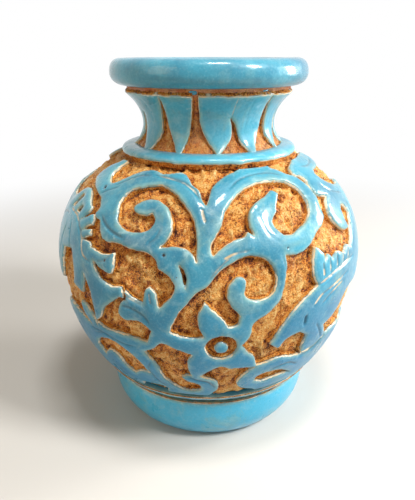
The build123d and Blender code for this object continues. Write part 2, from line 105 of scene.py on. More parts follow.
# -------------------- outlines of the sunk pockets
# Azimuth and latitude in degrees. A row starts at a corner and runs smoothly to the next row's first point.
POCKETS = [
    # left comb
    [[(-64.8, 43.4), (-60, 41), (-55, 39.2), (-51, 38)],
     [(-48.3, 37.2), (-46.4, 35), (-45.7, 33)],
     [(-46.5, 31), (-49.5, 29.4)],
     [(-54, 26.3), (-52, 28.8), (-50.4, 31)],
     [(-50.2, 32.7), (-53, 33.7), (-55.5, 36.4), (-60, 38.8), (-64, 38.4), (-68, 35.6), (-73, 32), (-82, 33)],
     [(-93, 36.5)],
     [(-93, 57)],
     [(-59.5, 57), (-60.5, 53.2), (-63.5, 51), (-65.3, 47.5)]],
    [[(-67.5, 28.6), (-65.6, 32)], [(-63.2, 35.2)], [(-61.3, 34.8), (-63.7, 31.2)], [(-64.8, 29)]],
    [[(-60.5, 28.4), (-59.3, 30)], [(-58.4, 31.3)], [(-56.8, 31)], [(-57.4, 28.2)]],
    # crest valley
    [[(-53.8, 57), (-54.1, 51), (-53, 46.6), (-48, 44.4), (-42.5, 47.6), (-38, 50.8), (-32, 53), (-27, 53),
      (-23, 52), (-18, 52.8), (-14, 53.3)],
     [(-10.5, 52.3), (-6.3, 47.6), (-4, 46), (-2.6, 43)],
     [(-1, 40), (0.2, 44), (1.4, 47.2), (5, 50.3), (9, 52.4), (15, 54.3)],
     [(22, 57)]],
    # right crest, gap, far leaf and hook
    [[(33, 57), (35.2, 53.9), (38.3, 52.4), (41.3, 50)],
     [(45.3, 48.6), (46.4, 51.4), (50, 53), (55, 54.3)],
     [(64, 57)]],
    [[(46, 48.2), (48.6, 47.8), (50.3, 46), (49.8, 44.2)], [(48.4, 43), (47.2, 45.6)]],
    [[(62.8, 45.8), (66, 47.3), (75, 47), (82, 48.2), (85.3, 51), (84.6, 54)],
     [(82, 57)],
     [(93, 57)],
     [(93, 36), (82, 35.8), (72, 38), (66, 41), (63.2, 43.6)]],
    [[(61.5, 28.4), (64.2, 29.7), (67.6, 28.4), (69.2, 25), (67.4, 22)],
     [(64.6, 19.8), (62.4, 21), (61.2, 24), (61.4, 26.4)]],
    # the two great volutes
    [[(-15.5, 23.8), (-13.4, 26.6), (-12.2, 31), (-13.6, 36.2), (-17.2, 40.1), (-22, 41.3), (-27, 39.6),
      (-29, 36.8), (-26.4, 34.7), (-23, 34.8)],
     [(-20.6, 35.6), (-19.2, 33.2), (-20.4, 30), (-25, 28.1), (-30, 28.3), (-33.8, 30.8), (-35.4, 34.5),
      (-36.4, 38.5), (-34.4, 42.9), (-29, 45.4), (-20.5, 47), (-14, 44.2), (-8.4, 39.2), (-5, 33.6),
      (-3.9, 27)],
     [(-3.7, 19.3), (-5, 21.9), (-7.6, 24.1), (-11, 24.6)]],
    [[(1.4, 21.9), (0.7, 24.4), (2.6, 28.8), (4.8, 33.4), (6.2, 38), (10.4, 42.6), (16.4, 46.5), (23, 47.9),
      (30, 48.1), (37, 46.4), (41, 42.6), (41.6, 37), (39, 32), (34, 28.7), (27.6, 26.7), (24, 29),
      (22.9, 32.4)],
     [(25.7, 36.1), (27.2, 39)],
     [(29.7, 42.6), (27.4, 44.4), (22.4, 42.2), (17, 39.6), (14.2, 35.6), (14.1, 31.4)],
     [(15.1, 28.2), (13, 29.8)],
     [(11.8, 28.2), (8, 26.8), (4.2, 24.4)]],
    [[(-9, 17.8), (-7.3, 15.5), (-6.6, 12.8)], [(-6.9, 9.4), (-7.7, 12), (-8.2, 14.8)]],
    # middle volute
    [[(-12, -6.8), (-10.2, -2.6), (-6.8, 2.5), (-3.6, 7.6), (-0.2, 10.2), (1.8, 13.7), (4.4, 16.8),
      (8.4, 19.4), (13, 20.9), (17.6, 19.2), (20.5, 15), (20.8, 9.6), (18.6, 5.2), (14, 4.1), (11, 6.4),
      (11.2, 12), (9.4, 13.7), (6.6, 11.6), (5.4, 6.6), (6.8, 2)],
     [(9.3, -1.4), (8.6, -4)],
     [(6, -4.6), (4.6, -2.5), (1.6, 0.5)],
     [(-1.2, 4.2), (-3.2, -1), (-3, -4.8)],
     [(-1.6, -7.6), (-5, -8.3), (-9, -7.8)]],
    # left ground
    [[(-45.6, 29.6), (-42.6, 28.8), (-40.4, 25.2), (-37.8, 22.4), (-31, 22.5), (-25, 21.4), (-20, 21.2),
      (-16.9, 19), (-15.6, 15.8), (-12, 13.2), (-10.2, 9.6), (-11, 6.2)],
     [(-15, 0.8), (-15.6, 4.5), (-16.5, 7.2)],
     [(-18, 8.8), (-19.4, 7.4)],
     [(-20.3, 1.8), (-23.5, 3)],
     [(-27.3, 6.6), (-31.6, 5.8), (-36.3, 7.2), (-38.8, 9.8)],
     [(-40.4, 13), (-38.2, 12), (-35, 10.5), (-32, 10.6), (-31.2, 14)],
     [(-31.8, 18.8), (-36, 17.4)],
     [(-42.9, 18.2), (-43.8, 19.6)],
     [(-48.9, 19.8)],
     [(-44.6, 22.2)],
     [(-45.2, 25), (-47.8, 24.2)],
     [(-50.4, 22.8), (-48, 25.2)],
     [(-45.6, 26.4)]],
    # left middle and left low
    [[(-40.8, -9.6), (-38, -7.6), (-35.8, -4), (-32, -1), (-29.6, 1)],
     [(-28.4, 1.9)],
     [(-26.6, 1.8), (-28.6, -0.6), (-29.5, -3.6), (-27.2, -5.4), (-22, -4.8)],
     [(-18.2, -7.2), (-19.4, -9.8)],
     [(-20.2, -11.4), (-25, -10.9), (-31, -10.6), (-37, -11)]],
    [[(-54.5, 13.3), (-52.6, 8.4), (-51.7, 3)],
     [(-52.6, -0.8), (-49.4, -1.5)],
     [(-46.2, -2.2), (-45.3, 1.4)],
     [(-45.1, 6.2), (-42.4, 1.4), (-41, -4.5)],
     [(-41, -10.6), (-43, -8), (-45.4, -5.7)],
     [(-48.6, -5.2), (-48.4, -8.6)],
     [(-44.6, -12.2), (-52, -10.8), (-60, -10.4), (-70, -12.8), (-80, -16)],
     [(-93, -18)],
     [(-93, -12), (-80, -9), (-71, -5.5), (-65, -1), (-63.4, 5)],
     [(-62.6, 10.8), (-59, 12.2)]],
    # ring round the flower's boss
    [[(-1, -11.6), (0.6, -8.6), (4, -7.5), (7.4, -8.6), (9, -11.6), (7.4, -14.6), (4, -15.7), (0.6, -14.6)]],
    # lower scrolls
    [[(-21.8, -15.6), (-18.4, -13.8), (-14.8, -11.1), (-11, -12.5)],
     [(-5.4, -14.3), (-7, -17), (-7.2, -20.6)],
     [(-6.2, -23.8), (-8.4, -24)],
     [(-10, -25), (-8, -27), (-4, -28.8), (-3.2, -31.8), (-6.8, -33.7), (-12, -31.9), (-16.4, -27),
      (-18.4, -20.6)]],
    [[(-3, -23.8), (-0.4, -21.8), (4, -19.3), (7.4, -20.4), (11, -20.6)],
     [(16.5, -21), (13, -23.6), (10.9, -27), (11.2, -30.6), (14.5, -33.2), (18.6, -35)],
     [(22, -40)],
     [(-4, -40), (0.8, -36), (3.8, -31.4), (3, -27)]],
    # right ground
    [[(16.8, -20.3), (15.6, -17), (13.4, -14.4)],
     [(10.5, -11.5), (13.2, -8), (14, -4), (18, -1.8), (21.4, 1.2), (23.4, 6), (24.8, 13), (25.3, 16.6)],
     [(24.9, 19.4), (30, 18.8), (35.4, 21), (39.4, 24.4), (43.4, 26.5), (46.8, 29.4), (47.5, 33.5)],
     [(49.4, 38.4)],
     [(55.6, 36.4), (52.4, 33.6), (50.7, 29), (52.4, 24.6), (57, 20.6)],
     [(64, 19.7)],
     [(59.5, 12.6), (56, 15)],
     [(52.3, 12.3), (49.5, 14.6)],
     [(45, 12.8), (43.6, 15.2)],
     [(41.2, 13.6), (41, 16.4)],
     [(37.3, 20.4), (35.6, 15), (35, 9.4)],
     [(36.8, 4.4), (32, 0.8), (27.5, -2.5), (24, -6.4)],
     [(20, -12.5), (23.6, -14.6), (26.4, -11.9), (31, -11)],
     [(35, -13.3), (34.4, -17)],
     [(35.2, -21), (31, -20.4), (26, -19.2)]],
    [[(43.5, -12), (47.5, -10.8), (51, -8.6), (54, -5.9), (58, -4.2), (66, -5), (78, -9.6)],
     [(93, -12)],
     [(93, -18), (80, -18.6), (66, -19.4), (54, -17.4)],
     [(47, -17.8), (45.4, -14.6)]],
    # base scrolls
    [[(-47, -22), (-43.4, -18), (-37, -15.4), (-31, -16.5), (-26.4, -19.6)],
     [(-22.5, -25.6), (-26.6, -25.9)],
     [(-30, -28.6), (-33.6, -26), (-34.8, -22.4), (-38, -20.5), (-42, -22.6)],
     [(-45, -25.2)]],
    [[(-30, -34.4), (-25, -33), (-20, -32.5)], [(-17, -33.6), (-18, -36)], [(-19, -40)], [(-29, -40)]],
    [[(18.2, -29), (18.3, -26.6), (22, -25.4), (28, -26.2)], [(35, -30.5), (29, -29.5), (22, -30.4)]],
    # sides
    [[(90, 25), (84, 19), (82, 11), (85, 4)], [(90, -1), (95, 4), (98, 11), (96, 19)]],
    [[(-90, 25), (-96, 19), (-98, 11), (-95, 4)], [(-90, -1), (-85, 4), (-82, 11), (-84, 19)]],
    [[(-104, -25), (-97, -22.6), (-90, -22), (-83, -22.6)],
     [(-76, -25), (-82, -27.6), (-90, -28.6), (-98, -27.6)]],
    [[(76, -25), (83, -22.6), (90, -22), (97, -22.6)], [(104, -25), (98, -27.6), (90, -28.6), (82, -27.6)]],
]
BOSS = [[(1.7, -11.6), (2.4, -10.2), (4, -9.7), (5.6, -10.2), (6.3, -11.6),
         (5.6, -13), (4, -13.5), (2.4, -13)]]
CREASES = [
    [[(-46.9, 31.6)], [(-45.1, 29.2)], [(-45.6, 28.9)], [(-47.2, 31.1)]],
    [[(-26.9, 7)], [(-26.3, 1.4)], [(-26.9, 1.3)], [(-27.6, 6.8)]],
    [[(-40.6, -9.2)], [(-40.7, -11)], [(-41.3, -11)], [(-41.3, -9)]],
    [[(48.1, 43.6)], [(49, 37.9)], [(49.7, 38)], [(48.8, 43.6)]],
    [[(45, 48.9)], [(46.3, 48.6)], [(46.3, 47.9)], [(45.1, 48.2)]],
    [[(34.8, -21.3)], [(41, -21.2)], [(47.4, -18.2)], [(47.4, -17.2)], [(41, -20.3)], [(34.8, -20.6)]],
]

# Incised lines on the glazed figures: points, half width and depth in mm, and how much cream shows in them
LINES = [
    ([(-27, 51), (-18, 50), (-10, 48), (-6, 45.5), (-3, 42)], 0.9, 0.75, 0.75),
    ([(-2.5, 38.5), (-2, 36), (-1, 33)], 0.6, 0.6, 1.0),
    ([(-42, 31), (-38, 28), (-33.5, 26), (-29, 25)], 0.8, 0.7, 0.1),
    ([(-20, 24), (-17.4, 27), (-16, 30.5)], 0.8, 0.35, 0.3),
    ([(8, 45.6), (14, 49.6), (22, 51.3), (31, 51.2), (38, 49)], 0.8, 0.45, 0.5),
    ([(17, 40), (18, 35), (20, 28), (24, 24)], 0.9, 0.07, 0.1),
    ([(-45, 43), (-40, 46.5), (-34, 49.6), (-28, 50.2)], 0.8, 0.5, 0.5),
    ([(-50, 38.6), (-46, 41), (-41, 43.5)], 0.8, 0.4, 0.2),
    ([(36.5, 4.4), (42, 6), (47, 7.4), (52, 8.2), (60, 8.4)], 0.6, 0.9, 0.9),
    ([(39.6, 7), (39.6, 10), (39.9, 13)], 0.5, 0.6, 0.9),
    ([(43, 7.6), (43.2, 10.4), (43.6, 14)], 0.5, 0.6, 0.9),
    ([(47, 8.4), (47.4, 11), (48, 13.4)], 0.5, 0.6, 0.9),
    ([(51, 9), (51.6, 11), (52.4, 12.2)], 0.5, 0.6, 0.9),
    ([(55, 9.2), (56, 11.6), (57, 13.8)], 0.5, 0.6, 0.9),
    ([(35, -3), (38, -0.5), (45, 1.5), (54.5, 4)], 0.55, 0.6, 0.9),
    ([(38.6, -3.4), (44, -1), (52, 1.2)], 0.55, 0.45, 0.8),
    ([(32.5, -5.2), (32.3, -8.3)], 0.65, 1.4, 0.0),
    ([(38, -9.5), (41, -13), (44, -17.4)], 0.7, 0.5, 0.5),
    ([(35, -22), (40, -21.8), (47, -19)], 0.7, 0.7, 0.6),
    ([(-28, -1), (-25, -0.7), (-20, -2.5), (-18, -5)], 0.7, 0.55, 0.5),
    ([(-46, -13.5), (-38, -13), (-32, -15)], 0.7, 0.6, 0.5),
    ([(-70, 27.5), (-63, 27.3), (-57, 26.5), (-50, 21), (-46, 14), (-41, 12)], 0.6, 0.55, 0.8),
    ([(-78, 21), (-72, 24), (-66, 25)], 0.7, 0.5, 0.4),
    ([(-60, 24), (-57, 17), (-56, 10)], 0.7, 0.35, 0.3),
    ([(-64, 22), (-66, 12), (-68, 2)], 0.9, 0.4, 0.3),
    ([(-27, 4), (-24, 2.4), (-20, 1)], 0.6, 0.45, 0.7),
    ([(-17.4, 1.6), (-17.8, 4), (-18, 7)], 0.6, 0.4, 0.6),
    ([(-8, -24), (-3, -26), (0, -27), (3, -31)], 0.7, 0.6, 0.6),
    ([(22, -24), (30, -23), (36, -26)], 0.7, 0.6, 0.6),
    ([(8, 22.4), (3, 17), (0, 12.6)], 0.8, 0.4, 0.6),
    ([(14, 23), (8, 22), (4, 20)], 0.7, 0.35, 0.8),
    ([(23.4, 20), (24.6, 12), (22.4, 4)], 0.7, 0.3, 0.3),
    ([(-33, 18), (-36, 14.4), (-38.6, 14)], 0.6, 0.3, 0.5),
    ([(-24, -14), (-30, -14.2), (-37, -13), (-44, -15)], 0.7, 0.45, 0.4),
    ([(-20, -19), (-22, -23), (-20, -28), (-15, -33)], 0.8, 0.5, 0.5),
    ([(-52, -19), (-62, -17), (-74, -18.5), (-90, -20)], 0.8, 0.45, 0.4),
    ([(52, -22), (64, -23), (76, -21.4), (90, -20)], 0.8, 0.45, 0.4),
    ([(70, 30), (76, 24), (78, 14), (77, 4)], 0.9, 0.45, 0.4),
    ([(60, 0), (68, 0), (78, -2), (90, -6)], 0.8, 0.45, 0.4),
    ([(-90, -6), (-80, -3), (-74, 2), (-72, 9)], 0.8, 0.45, 0.4),
    ([(57, 42), (60, 38), (66, 35.4), (76, 32)], 0.8, 0.45, 0.5),
    ([(55, 51), (63, 50), (72, 50.4), (80, 51.4)], 0.8, 0.45, 0.5),
    ([(-90, 30), (-82, 29), (-75, 28)], 0.8, 0.45, 0.4),
]
# Pin holes in the glaze: azimuth, latitude, radius in mm, depth
PINS = [(-50, 41.5, 1.2, 2.4), (-14, 21, 0.85, 1.6), (-35, 15, 0.7, 1.2), (26, 22, 0.6, 1.1),
        (-60, 20, 0.6, 1.1)]


# -------------------- curves
STEPS = 12


def smooth_row(points, closed=False):
    """Smooth curve through points, with a fixed number of steps between each two."""
    p = np.array(points, float)
    if len(p) == 2 and not closed:
        return p[:1]
    if closed:
        p = np.concatenate([p[-1:], p, p[:2]])
    else:
        p = np.concatenate([2 * p[:1] - p[1:2], p, 2 * p[-1:] - p[-2:-1]])
    u = np.linspace(0, 1, STEPS + 1)[:-1, None]
    out = []
    for a, b, c, d in zip(p, p[1:], p[2:], p[3:]):
        t1, t2, t3 = (max(np.hypot(*gap) ** 0.5, 1e-6) for gap in (b - a, c - b, d - c))
        m1 = (b - a) / t1 - (c - a) / (t1 + t2) + (c - b) / t2
        m2 = (c - b) / t2 - (d - b) / (t2 + t3) + (d - c) / t3
        out.append((2 * u**3 - 3 * u**2 + 1) * b + (u**3 - 2 * u**2 + u) * t2 * m1
                   + (3 * u**2 - 2 * u**3) * c + (u**3 - u**2) * t2 * m2)
    return np.concatenate(out)


def closed_line(rows):
    if len(rows) == 1:
        return smooth_row(rows[0], closed=True)
    return np.concatenate([smooth_row(list(row) + after[:1])
                           for row, after in zip(rows, rows[1:] + rows[:1])])


def open_line(points):
    return np.concatenate([smooth_row(points), np.array(points[-1:], float)])


def dense(points, gap):
    """Points along a run of straight lines no further apart than a gap."""
    p = np.array(points, float)
    out = []
    for a, b in zip(p, p[1:]):
        n = max(1, int(math.ceil(np.hypot(*(b - a)) / gap)))
        out += [a + (b - a) * k / n for k in range(n)]
    return out + [p[-1]]


def bulge(points, gap):
    """Smooth curve through given profile points, with its own points at least a gap apart."""
    line = open_line(points)
    out = [line[0]]
    for q in line[1:]:
        if np.hypot(*(q - out[-1])) >= gap:
            out.append(q)
    out[-1] = line[-1]
    return out


def nearest(x, y, px, py, stretch=1.0, closed=True):
    """Distance from points to a line of segments, and how far along the line its nearest place is."""
    if closed:
        px, py = np.append(px, px[0]), np.append(py, py[0])
    best, along = np.full(len(x), np.inf), np.zeros(len(x))
    for n, (a, b, c, d) in enumerate(zip(px, py, px[1:], py[1:])):
        ax, ay, ex, ey = (a - x) * stretch, b - y, (c - a) * stretch, d - b
        t = np.clip(-(ax * ex + ay * ey) / (ex * ex + ey * ey + 1e-12), 0, 1)
        square = (ax + t * ex) ** 2 + (ay + t * ey) ** 2
        along = np.where(square < best, (n + t) / (len(px) - 1), along)
        best = np.minimum(best, square)
    return np.sqrt(best), along


def signed(x, y, px, py, stretch=1.0):
    """Distance from points to a closed line, below zero inside it."""
    within = np.zeros(len(x), bool)
    for a, b, c, d in zip(px, py, np.roll(px, -1), np.roll(py, -1)):
        if b != d:
            within ^= ((b > y) != (d > y)) & (x < (c - a) * (y - b) / (d - b) + a)
    gap = nearest(x, y, px, py, stretch)[0]
    return np.where(within, -gap, gap)


# -------------------- noise
def lattice(ix, iy, iz, seed):
    h = (ix * 73856093) ^ (iy * 19349663) ^ (iz * 83492791) ^ (seed * 2654435)
    h = (h ^ (h >> 13)) * 1274126177
    h = h ^ (h >> 16)
    return (h & 0xFFFFFF) / float(0xFFFFFF)


def noise(p, size, seed):
    """Smooth noise from -1 to 1 over points in mm, with lumps of a size. Each use has a seed of its own."""
    q = p / size
    i = np.floor(q).astype(np.int64)
    f = q - i
    f = f * f * f * (f * (f * 6 - 15) + 10)
    out = 0
    for corner in np.ndindex(2, 2, 2):
        x, y, z = (f[..., k] if corner[k] else 1 - f[..., k] for k in range(3))
        out = out + x * y * z * lattice(*(i[..., k] + corner[k] for k in range(3)), seed)
    return out * 2 - 1


def cells(p, size, seed):
    """Distance to the nearest of scattered points, one in each cube of a size, over that size."""
    q = p / size
    i = np.floor(q).astype(np.int64)
    best = np.full(q.shape[:-1], np.inf)
    for cube in np.ndindex(3, 3, 3):
        j = [i[..., k] + cube[k] - 1 for k in range(3)]
        best = np.minimum(best, sum((j[k] + lattice(*j, seed + 11 * k) - q[..., k]) ** 2 for k in range(3)))
    return np.sqrt(best)


def rough(p, seed):
    """Height of tooled clay in mm: gouges, chips, facets and grit."""
    gouge = 1 - 2 * np.abs(noise(p * [1, 1, 0.8], 7.0, seed))
    bend = np.stack([noise(p, 3.1, seed + k) for k in (1, 2, 3)], -1)
    chip = cells(p + 1.4 * bend, 3.4, seed + 4)
    grit = noise(p, 1.7, seed + 5)
    facet = cells(p * [1, 1, 1.3], 5.6, seed + 6)
    return 0.42 * gouge + 1.15 * (chip - 0.6) + 0.9 * (facet - 0.6) + 0.3 * grit


def step(x, a, b):
    """Smooth step from 0 at one value to 1 at another."""
    t = np.clip((x - a) / (b - a), 0, 1)
    return t * t * (3 - 2 * t)


# -------------------- the carved belly as one field over the front
COLS, ROWS = 900, 232  # round the whole jar and up the carving
OVER = 1.6  # mm of grid beyond the carving's own top and bottom edges
FIGURE_EDGE = 0.12  # mm past an outline, from where a place is on a figure
SPREAD = 7  # grid steps that a figure's number spreads over its edge
TREE, LEFT_BIRD, RIGHT_BIRD, BUTTON = 1, 2, 3, 4
S_LOW, S_HIGH = arc_length(CARVE_LOW), arc_length(CARVE_HIGH)
front_az = np.linspace(-90, 90, COLS // 2 + 1)
s_rows = np.linspace(S_LOW - OVER, S_HIGH + OVER, ROWS)
lat_rows = lat_at(s_rows)
AZ, SS = np.meshgrid(front_az, s_rows)
mm_per_deg = np.repeat(np.radians(profile_at(tilt(lat_rows))[0])[:, None], len(front_az), axis=1)


def field_of(rows):
    """Signed distance in mm to an outline over the front, positive outside it."""
    line = closed_line(rows)
    px, py = line[:, 0], arc_length(line[:, 1])
    across = AZ * mm_per_deg
    near = ((across > px.min() * mm_per_deg - FAR) & (across < px.max() * mm_per_deg + FAR)
            & (SS > py.min() - FAR) & (SS < py.max() + FAR))
    out = np.full(AZ.shape, FAR)
    out[near] = np.minimum(signed(AZ[near], SS[near], px, py, mm_per_deg[near]), FAR)
    return out


edge = np.full(AZ.shape, FAR)
for rows in POCKETS + CREASES:
    edge = np.minimum(edge, field_of(rows))
edge = np.maximum(edge, -field_of(BOSS))
edge = np.minimum(edge, np.minimum(SS - S_LOW, S_HIGH - SS))


def neighbours(values):
    """Greatest value at each place's four neighbours."""
    pad = np.pad(values, 1)
    return np.maximum(np.maximum(pad[:-2, 1:-1], pad[2:, 1:-1]), np.maximum(pad[1:-1, :-2], pad[1:-1, 2:]))


# which figure each place belongs to: the greatest label spreads over each, and then the figure's number
mask = edge > FIGURE_EDGE
label = np.where(mask, np.arange(mask.size).reshape(mask.shape) + 1, 0)
while True:
    grown = np.where(mask, np.maximum(label, neighbours(label)), 0)
    if (grown == label).all():
        break
    label = grown
kind = (label > 0) * TREE
for number, az, lat in ((LEFT_BIRD, -75, 22), (RIGHT_BIRD, 70, 12), (BUTTON, 4, -11.6)):
    kind[label == label[np.argmin(abs(lat_rows - lat)), np.argmin(abs(front_az - az))]] = number
for _ in range(SPREAD):
    kind = np.where(kind == 0, neighbours(kind), kind)

LINE_REACH = 6  # degrees and mm round an incised line in which it is worked out
CREAM_WIDTH, LEAST_HALF = 1.15, 0.75  # mm
groove, cream, pit = np.zeros((3, *AZ.shape))
for points, half, deep, pale in LINES:
    line = open_line(points)
    px, py = line[:, 0], arc_length(line[:, 1])
    near = ((AZ > px.min() - LINE_REACH) & (AZ < px.max() + LINE_REACH)
            & (SS > py.min() - LINE_REACH) & (SS < py.max() + LINE_REACH))
    d, along = nearest(AZ[near], SS[near], px, py, mm_per_deg[near], closed=False)
    taper = np.minimum(1, 5 * np.minimum(along, 1 - along) + 0.25)
    groove[near] = np.maximum(groove[near], 1.5 * deep * taper * np.exp(-(d / max(half, LEAST_HALF)) ** 2))
    cream[near] = np.maximum(cream[near], pale * taper * np.exp(-(d / CREAM_WIDTH) ** 2))
for az, lat, r, deep in PINS:
    d = np.hypot((AZ - az) * mm_per_deg, SS - arc_length(lat))
    groove = np.maximum(groove, deep * np.exp(-(d / r) ** 2))
    cream = np.maximum(cream, 0.6 * np.exp(-((d - 1.5 * r) / 0.6) ** 2))
    pit = np.maximum(pit, np.exp(-(d / r) ** 4))

# the back is the front turned half a turn
EDGE, KIND, GROOVE, CREAM, PIT = (np.tile(front[:, :-1], 2) for front in (edge, kind, groove, cream, pit))
AZ_ALL, LAT_ALL = np.meshgrid(np.linspace(-90, 270, COLS + 1)[:-1], lat_rows)
SKIN = wall(AZ_ALL, LAT_ALL)
WOBBLE = 0.30 * noise(SKIN, 34, 21) + 0.13 * noise(SKIN, 11, 22)
RAGGED = EDGE + 0.26 * noise(SKIN, 3.2, 23) + 0.14 * noise(SKIN, 1.5, 24)


# -------------------- building the pieces
pieces = {}


def build(node, slot, verts, faces, values):
    """Piece that replaces a node, with values at its points for its material."""
    name = node + ("_glaze" if slot == "glaze" else "_clay")
    mesh = bpy.data.meshes.new(name)
    mesh.vertices.add(len(verts))
    mesh.vertices.foreach_set("co", (verts * MM).ravel())
    mesh.loops.add(faces.size)
    mesh.loops.foreach_set("vertex_index", faces.ravel())
    mesh.polygons.add(len(faces))
    mesh.polygons.foreach_set("loop_start", np.arange(0, faces.size, faces.shape[1]))
    mesh.polygons.foreach_set("loop_total", np.full(len(faces), faces.shape[1]))
    mesh.update(calc_edges=True)
    mesh.validate()
    mesh.polygons.foreach_set("use_smooth", np.full(len(mesh.polygons), True))
    for key, value in values.items():
        layer = mesh.attributes.new(key, "FLOAT", "POINT")
        layer.data.foreach_set("value", np.asarray(value, float).ravel())
    piece = bpy.data.objects.new(name, mesh)
    bpy.context.scene.collection.objects.link(piece)
    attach(piece, "root")
    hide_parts(node)
    pieces[node] = piece


def sheet(node, top, under, keep, values):
    """Closed glazed piece between top and under surface, over the kept cells of a grid that wraps round."""
    rows, cols = top.shape[:2]
    n = rows * cols
    index = np.arange(n).reshape(rows, cols)
    right = np.roll(index, -1, axis=1)
    a, b, c, d = index[:-1], right[:-1], right[1:], index[1:]
    pad = np.pad(keep, ((1, 1), (0, 0)))
    faces = [np.stack([a, b, c, d], -1)[keep], np.stack([a, d, c, b], -1)[keep] + n]
    for p, q, beyond in ((a + n, b + n, pad[:-2]), (d, c, pad[2:]),
                         (a, d, np.roll(keep, 1, axis=1)), (b + n, c + n, np.roll(keep, -1, axis=1))):
        faces.append(np.stack([p, q, (q + n) % (2 * n), (p + n) % (2 * n)], -1)[keep & ~beyond])
    faces = np.concatenate(faces)
    verts = np.concatenate([top.reshape(-1, 3), under.reshape(-1, 3)])
    used = np.unique(faces)
    place = np.zeros(len(verts), int)
    place[used] = np.arange(len(used))
    build(node, "glaze", verts[used], place[faces],
          {k: np.tile(v.ravel(), 2)[used] for k, v in values.items()})


def lathe(node, slot, p, values):
    """Closed turned piece from a grid of points whose rows run once round its section."""
    rows, cols = p.shape[:2]
    a = np.arange(rows * cols).reshape(rows, cols)
    b, d = np.roll(a, -1, axis=1), np.roll(a, -1, axis=0)
    faces = np.stack([a, b, np.roll(b, -1, axis=0), d], -1).reshape(-1, 4)
    values = {k: np.broadcast_to(v.reshape(rows, -1), (rows, cols)) for k, v in values.items()}
    build(node, slot, p.reshape(-1, 3), faces, values)


def corners(values):
    """Greatest value at the four corners of each cell of a grid that wraps round."""
    pair = np.maximum(values, np.roll(values, -1, axis=1))
    return np.maximum(pair[:-1], pair[1:])


# -------------------- figures
# Their rounded edges lie lower, their flanks fall to the ground, and their backs lie in the clay.
EDGE_DROP, EDGE_ROUND = 0.95, 2.1  # mm down at the edge, and mm inward over which that fades
FLANK_END, BACK = -1.25, SUNK + 2.1
pillow = EDGE_DROP * np.exp(-np.maximum(RAGGED, 0) / EDGE_ROUND) * (RAGGED > -2)
fall = (SUNK + 1.2) * step(-RAGGED, -0.5, 1.15) ** 0.9
TOP = wall(AZ_ALL, LAT_ALL, pillow + fall + (GROOVE + np.maximum(WOBBLE, -0.35) * 0.6 + 0.35))
UNDER = wall(AZ_ALL, LAT_ALL, BACK)
in_front = np.arange(COLS) < COLS // 2
for node, number, side in (
    ("front_scroll_tree", TREE, in_front), ("front_left_bird", LEFT_BIRD, in_front),
    ("front_right_bird", RIGHT_BIRD, in_front), ("back_scroll_tree", TREE, ~in_front),
    ("back_left_bird", LEFT_BIRD, ~in_front), ("back_right_bird", RIGHT_BIRD, ~in_front),
    ("flower_bosses", BUTTON, True),
):
    keep = (corners(RAGGED) > FLANK_END) & (corners(KIND) == number) & side
    sheet(node, TOP, UNDER, keep, {"edge": RAGGED, "cream": CREAM, "sink": GROOVE, "pit": PIT})

# -------------------- ground and the body's wall
G_COLS, G_ROWS = 576, 146
GOUGE_UP, GOUGE_DOWN = 1.5, -1.9  # mm from the sunk ground
ground_s = np.linspace(arc_length(-45.6), arc_length(57.6), G_ROWS)
ground_lat = lat_at(ground_s)
ground_t = tilt(ground_lat)
ground = list(zip(*profile_at(ground_t, SUNK)))
rim = [(ground[-1][0] - 3, BODY_TOP), (36.2, BODY_TOP)]
hollow = [profile_at(t, HOLLOW) for t in np.radians([85, 75, 64, 52, 40, 28, 16, 4, -4, -12, -20, -28, -36])]
hollow += [(70.5, 49.0), (66, 46.2), (50, FLOOR_TOP), (25, FLOOR_TOP), (AXIS, FLOOR_TOP)]
under = [(AXIS, FOOT_TOP), (30, FOOT_TOP), (60, FOOT_TOP)]
inner = np.array([0.0] * G_ROWS + [0.0, 0.6] + [1.0] * len(hollow) + [0.0] * len(under))


def field_at(values, az, lat):
    """Value of a field round the jar at azimuths and latitudes."""
    col = ((az + 90) % 360) / 360 * COLS
    row = np.interp(lat, lat_rows, np.arange(ROWS))
    c0 = np.floor(col).astype(int) % COLS
    r0 = np.clip(np.floor(row).astype(int), 0, ROWS - 2)
    fc, fr = col - np.floor(col), row - r0
    low, high = (values[r, c0] * (1 - fc) + values[r, (c0 + 1) % COLS] * fc for r in (r0, r0 + 1))
    return low * (1 - fr) + high * fr


p = turned(ground + rim + hollow + under, G_COLS)
skin = p[:G_ROWS]
h = rough(skin, 50)
inward = np.maximum(-field_at(EDGE, *np.meshgrid(azimuths(G_COLS), ground_lat)) - 0.9, 0)
wallside = np.exp(-inward / 1.3)
chips = step(noise(skin, 3.0, 53), 0.1, 0.5) * (0.25 + 0.75 * np.exp(-inward / 4.0))
dug = 0.5 + 0.5 * noise(skin, 9, 52)
# ridges left between the tool's strokes, broad ones and short ones
crest = 1 - np.minimum(np.abs(noise(skin, 8.5, 55)) / 0.4, 1)
crest = np.maximum(crest, 0.8 - np.minimum(np.abs(noise(skin * (1.0, 1.0, 0.6), 5.0, 56)) / 0.35, 0.8))
lift = np.clip(h, -1.1, 1.3) + 0.4 * noise(skin, 14, 51) - 0.7 * wallside * dug - 0.6 * chips
lift = lift + 1.7 * crest - 0.9
lift = np.where(lift > 0, GOUGE_UP * np.tanh(lift / GOUGE_UP), np.maximum(lift, GOUGE_DOWN))
fade = step(ground_s, ground_s[0], ground_s[0] + 3) * step(-ground_s, -ground_s[-1], -ground_s[-1] + 2)
lift = lift * (0.35 + 0.65 * fade[:, None])
# painted light and shade: the ground's colour is darker where it lies low, by the figures' walls and in
# chips, and lighter on the ridges
cavity_shade = np.zeros(p.shape[:2])
cavity_shade[:G_ROWS] = 0.75 * h + 0.9 * (crest - 0.4) - 2.4 * wallside * dug - 2.0 * chips + 0.55
p[:G_ROWS] += around(azimuths(G_COLS), np.cos(ground_t)[:, None], np.sin(ground_t)[:, None]) * lift[..., None]
lathe("body_wall", "bare_clay", p, {"cavity_shade": cavity_shade, "inner": inner})

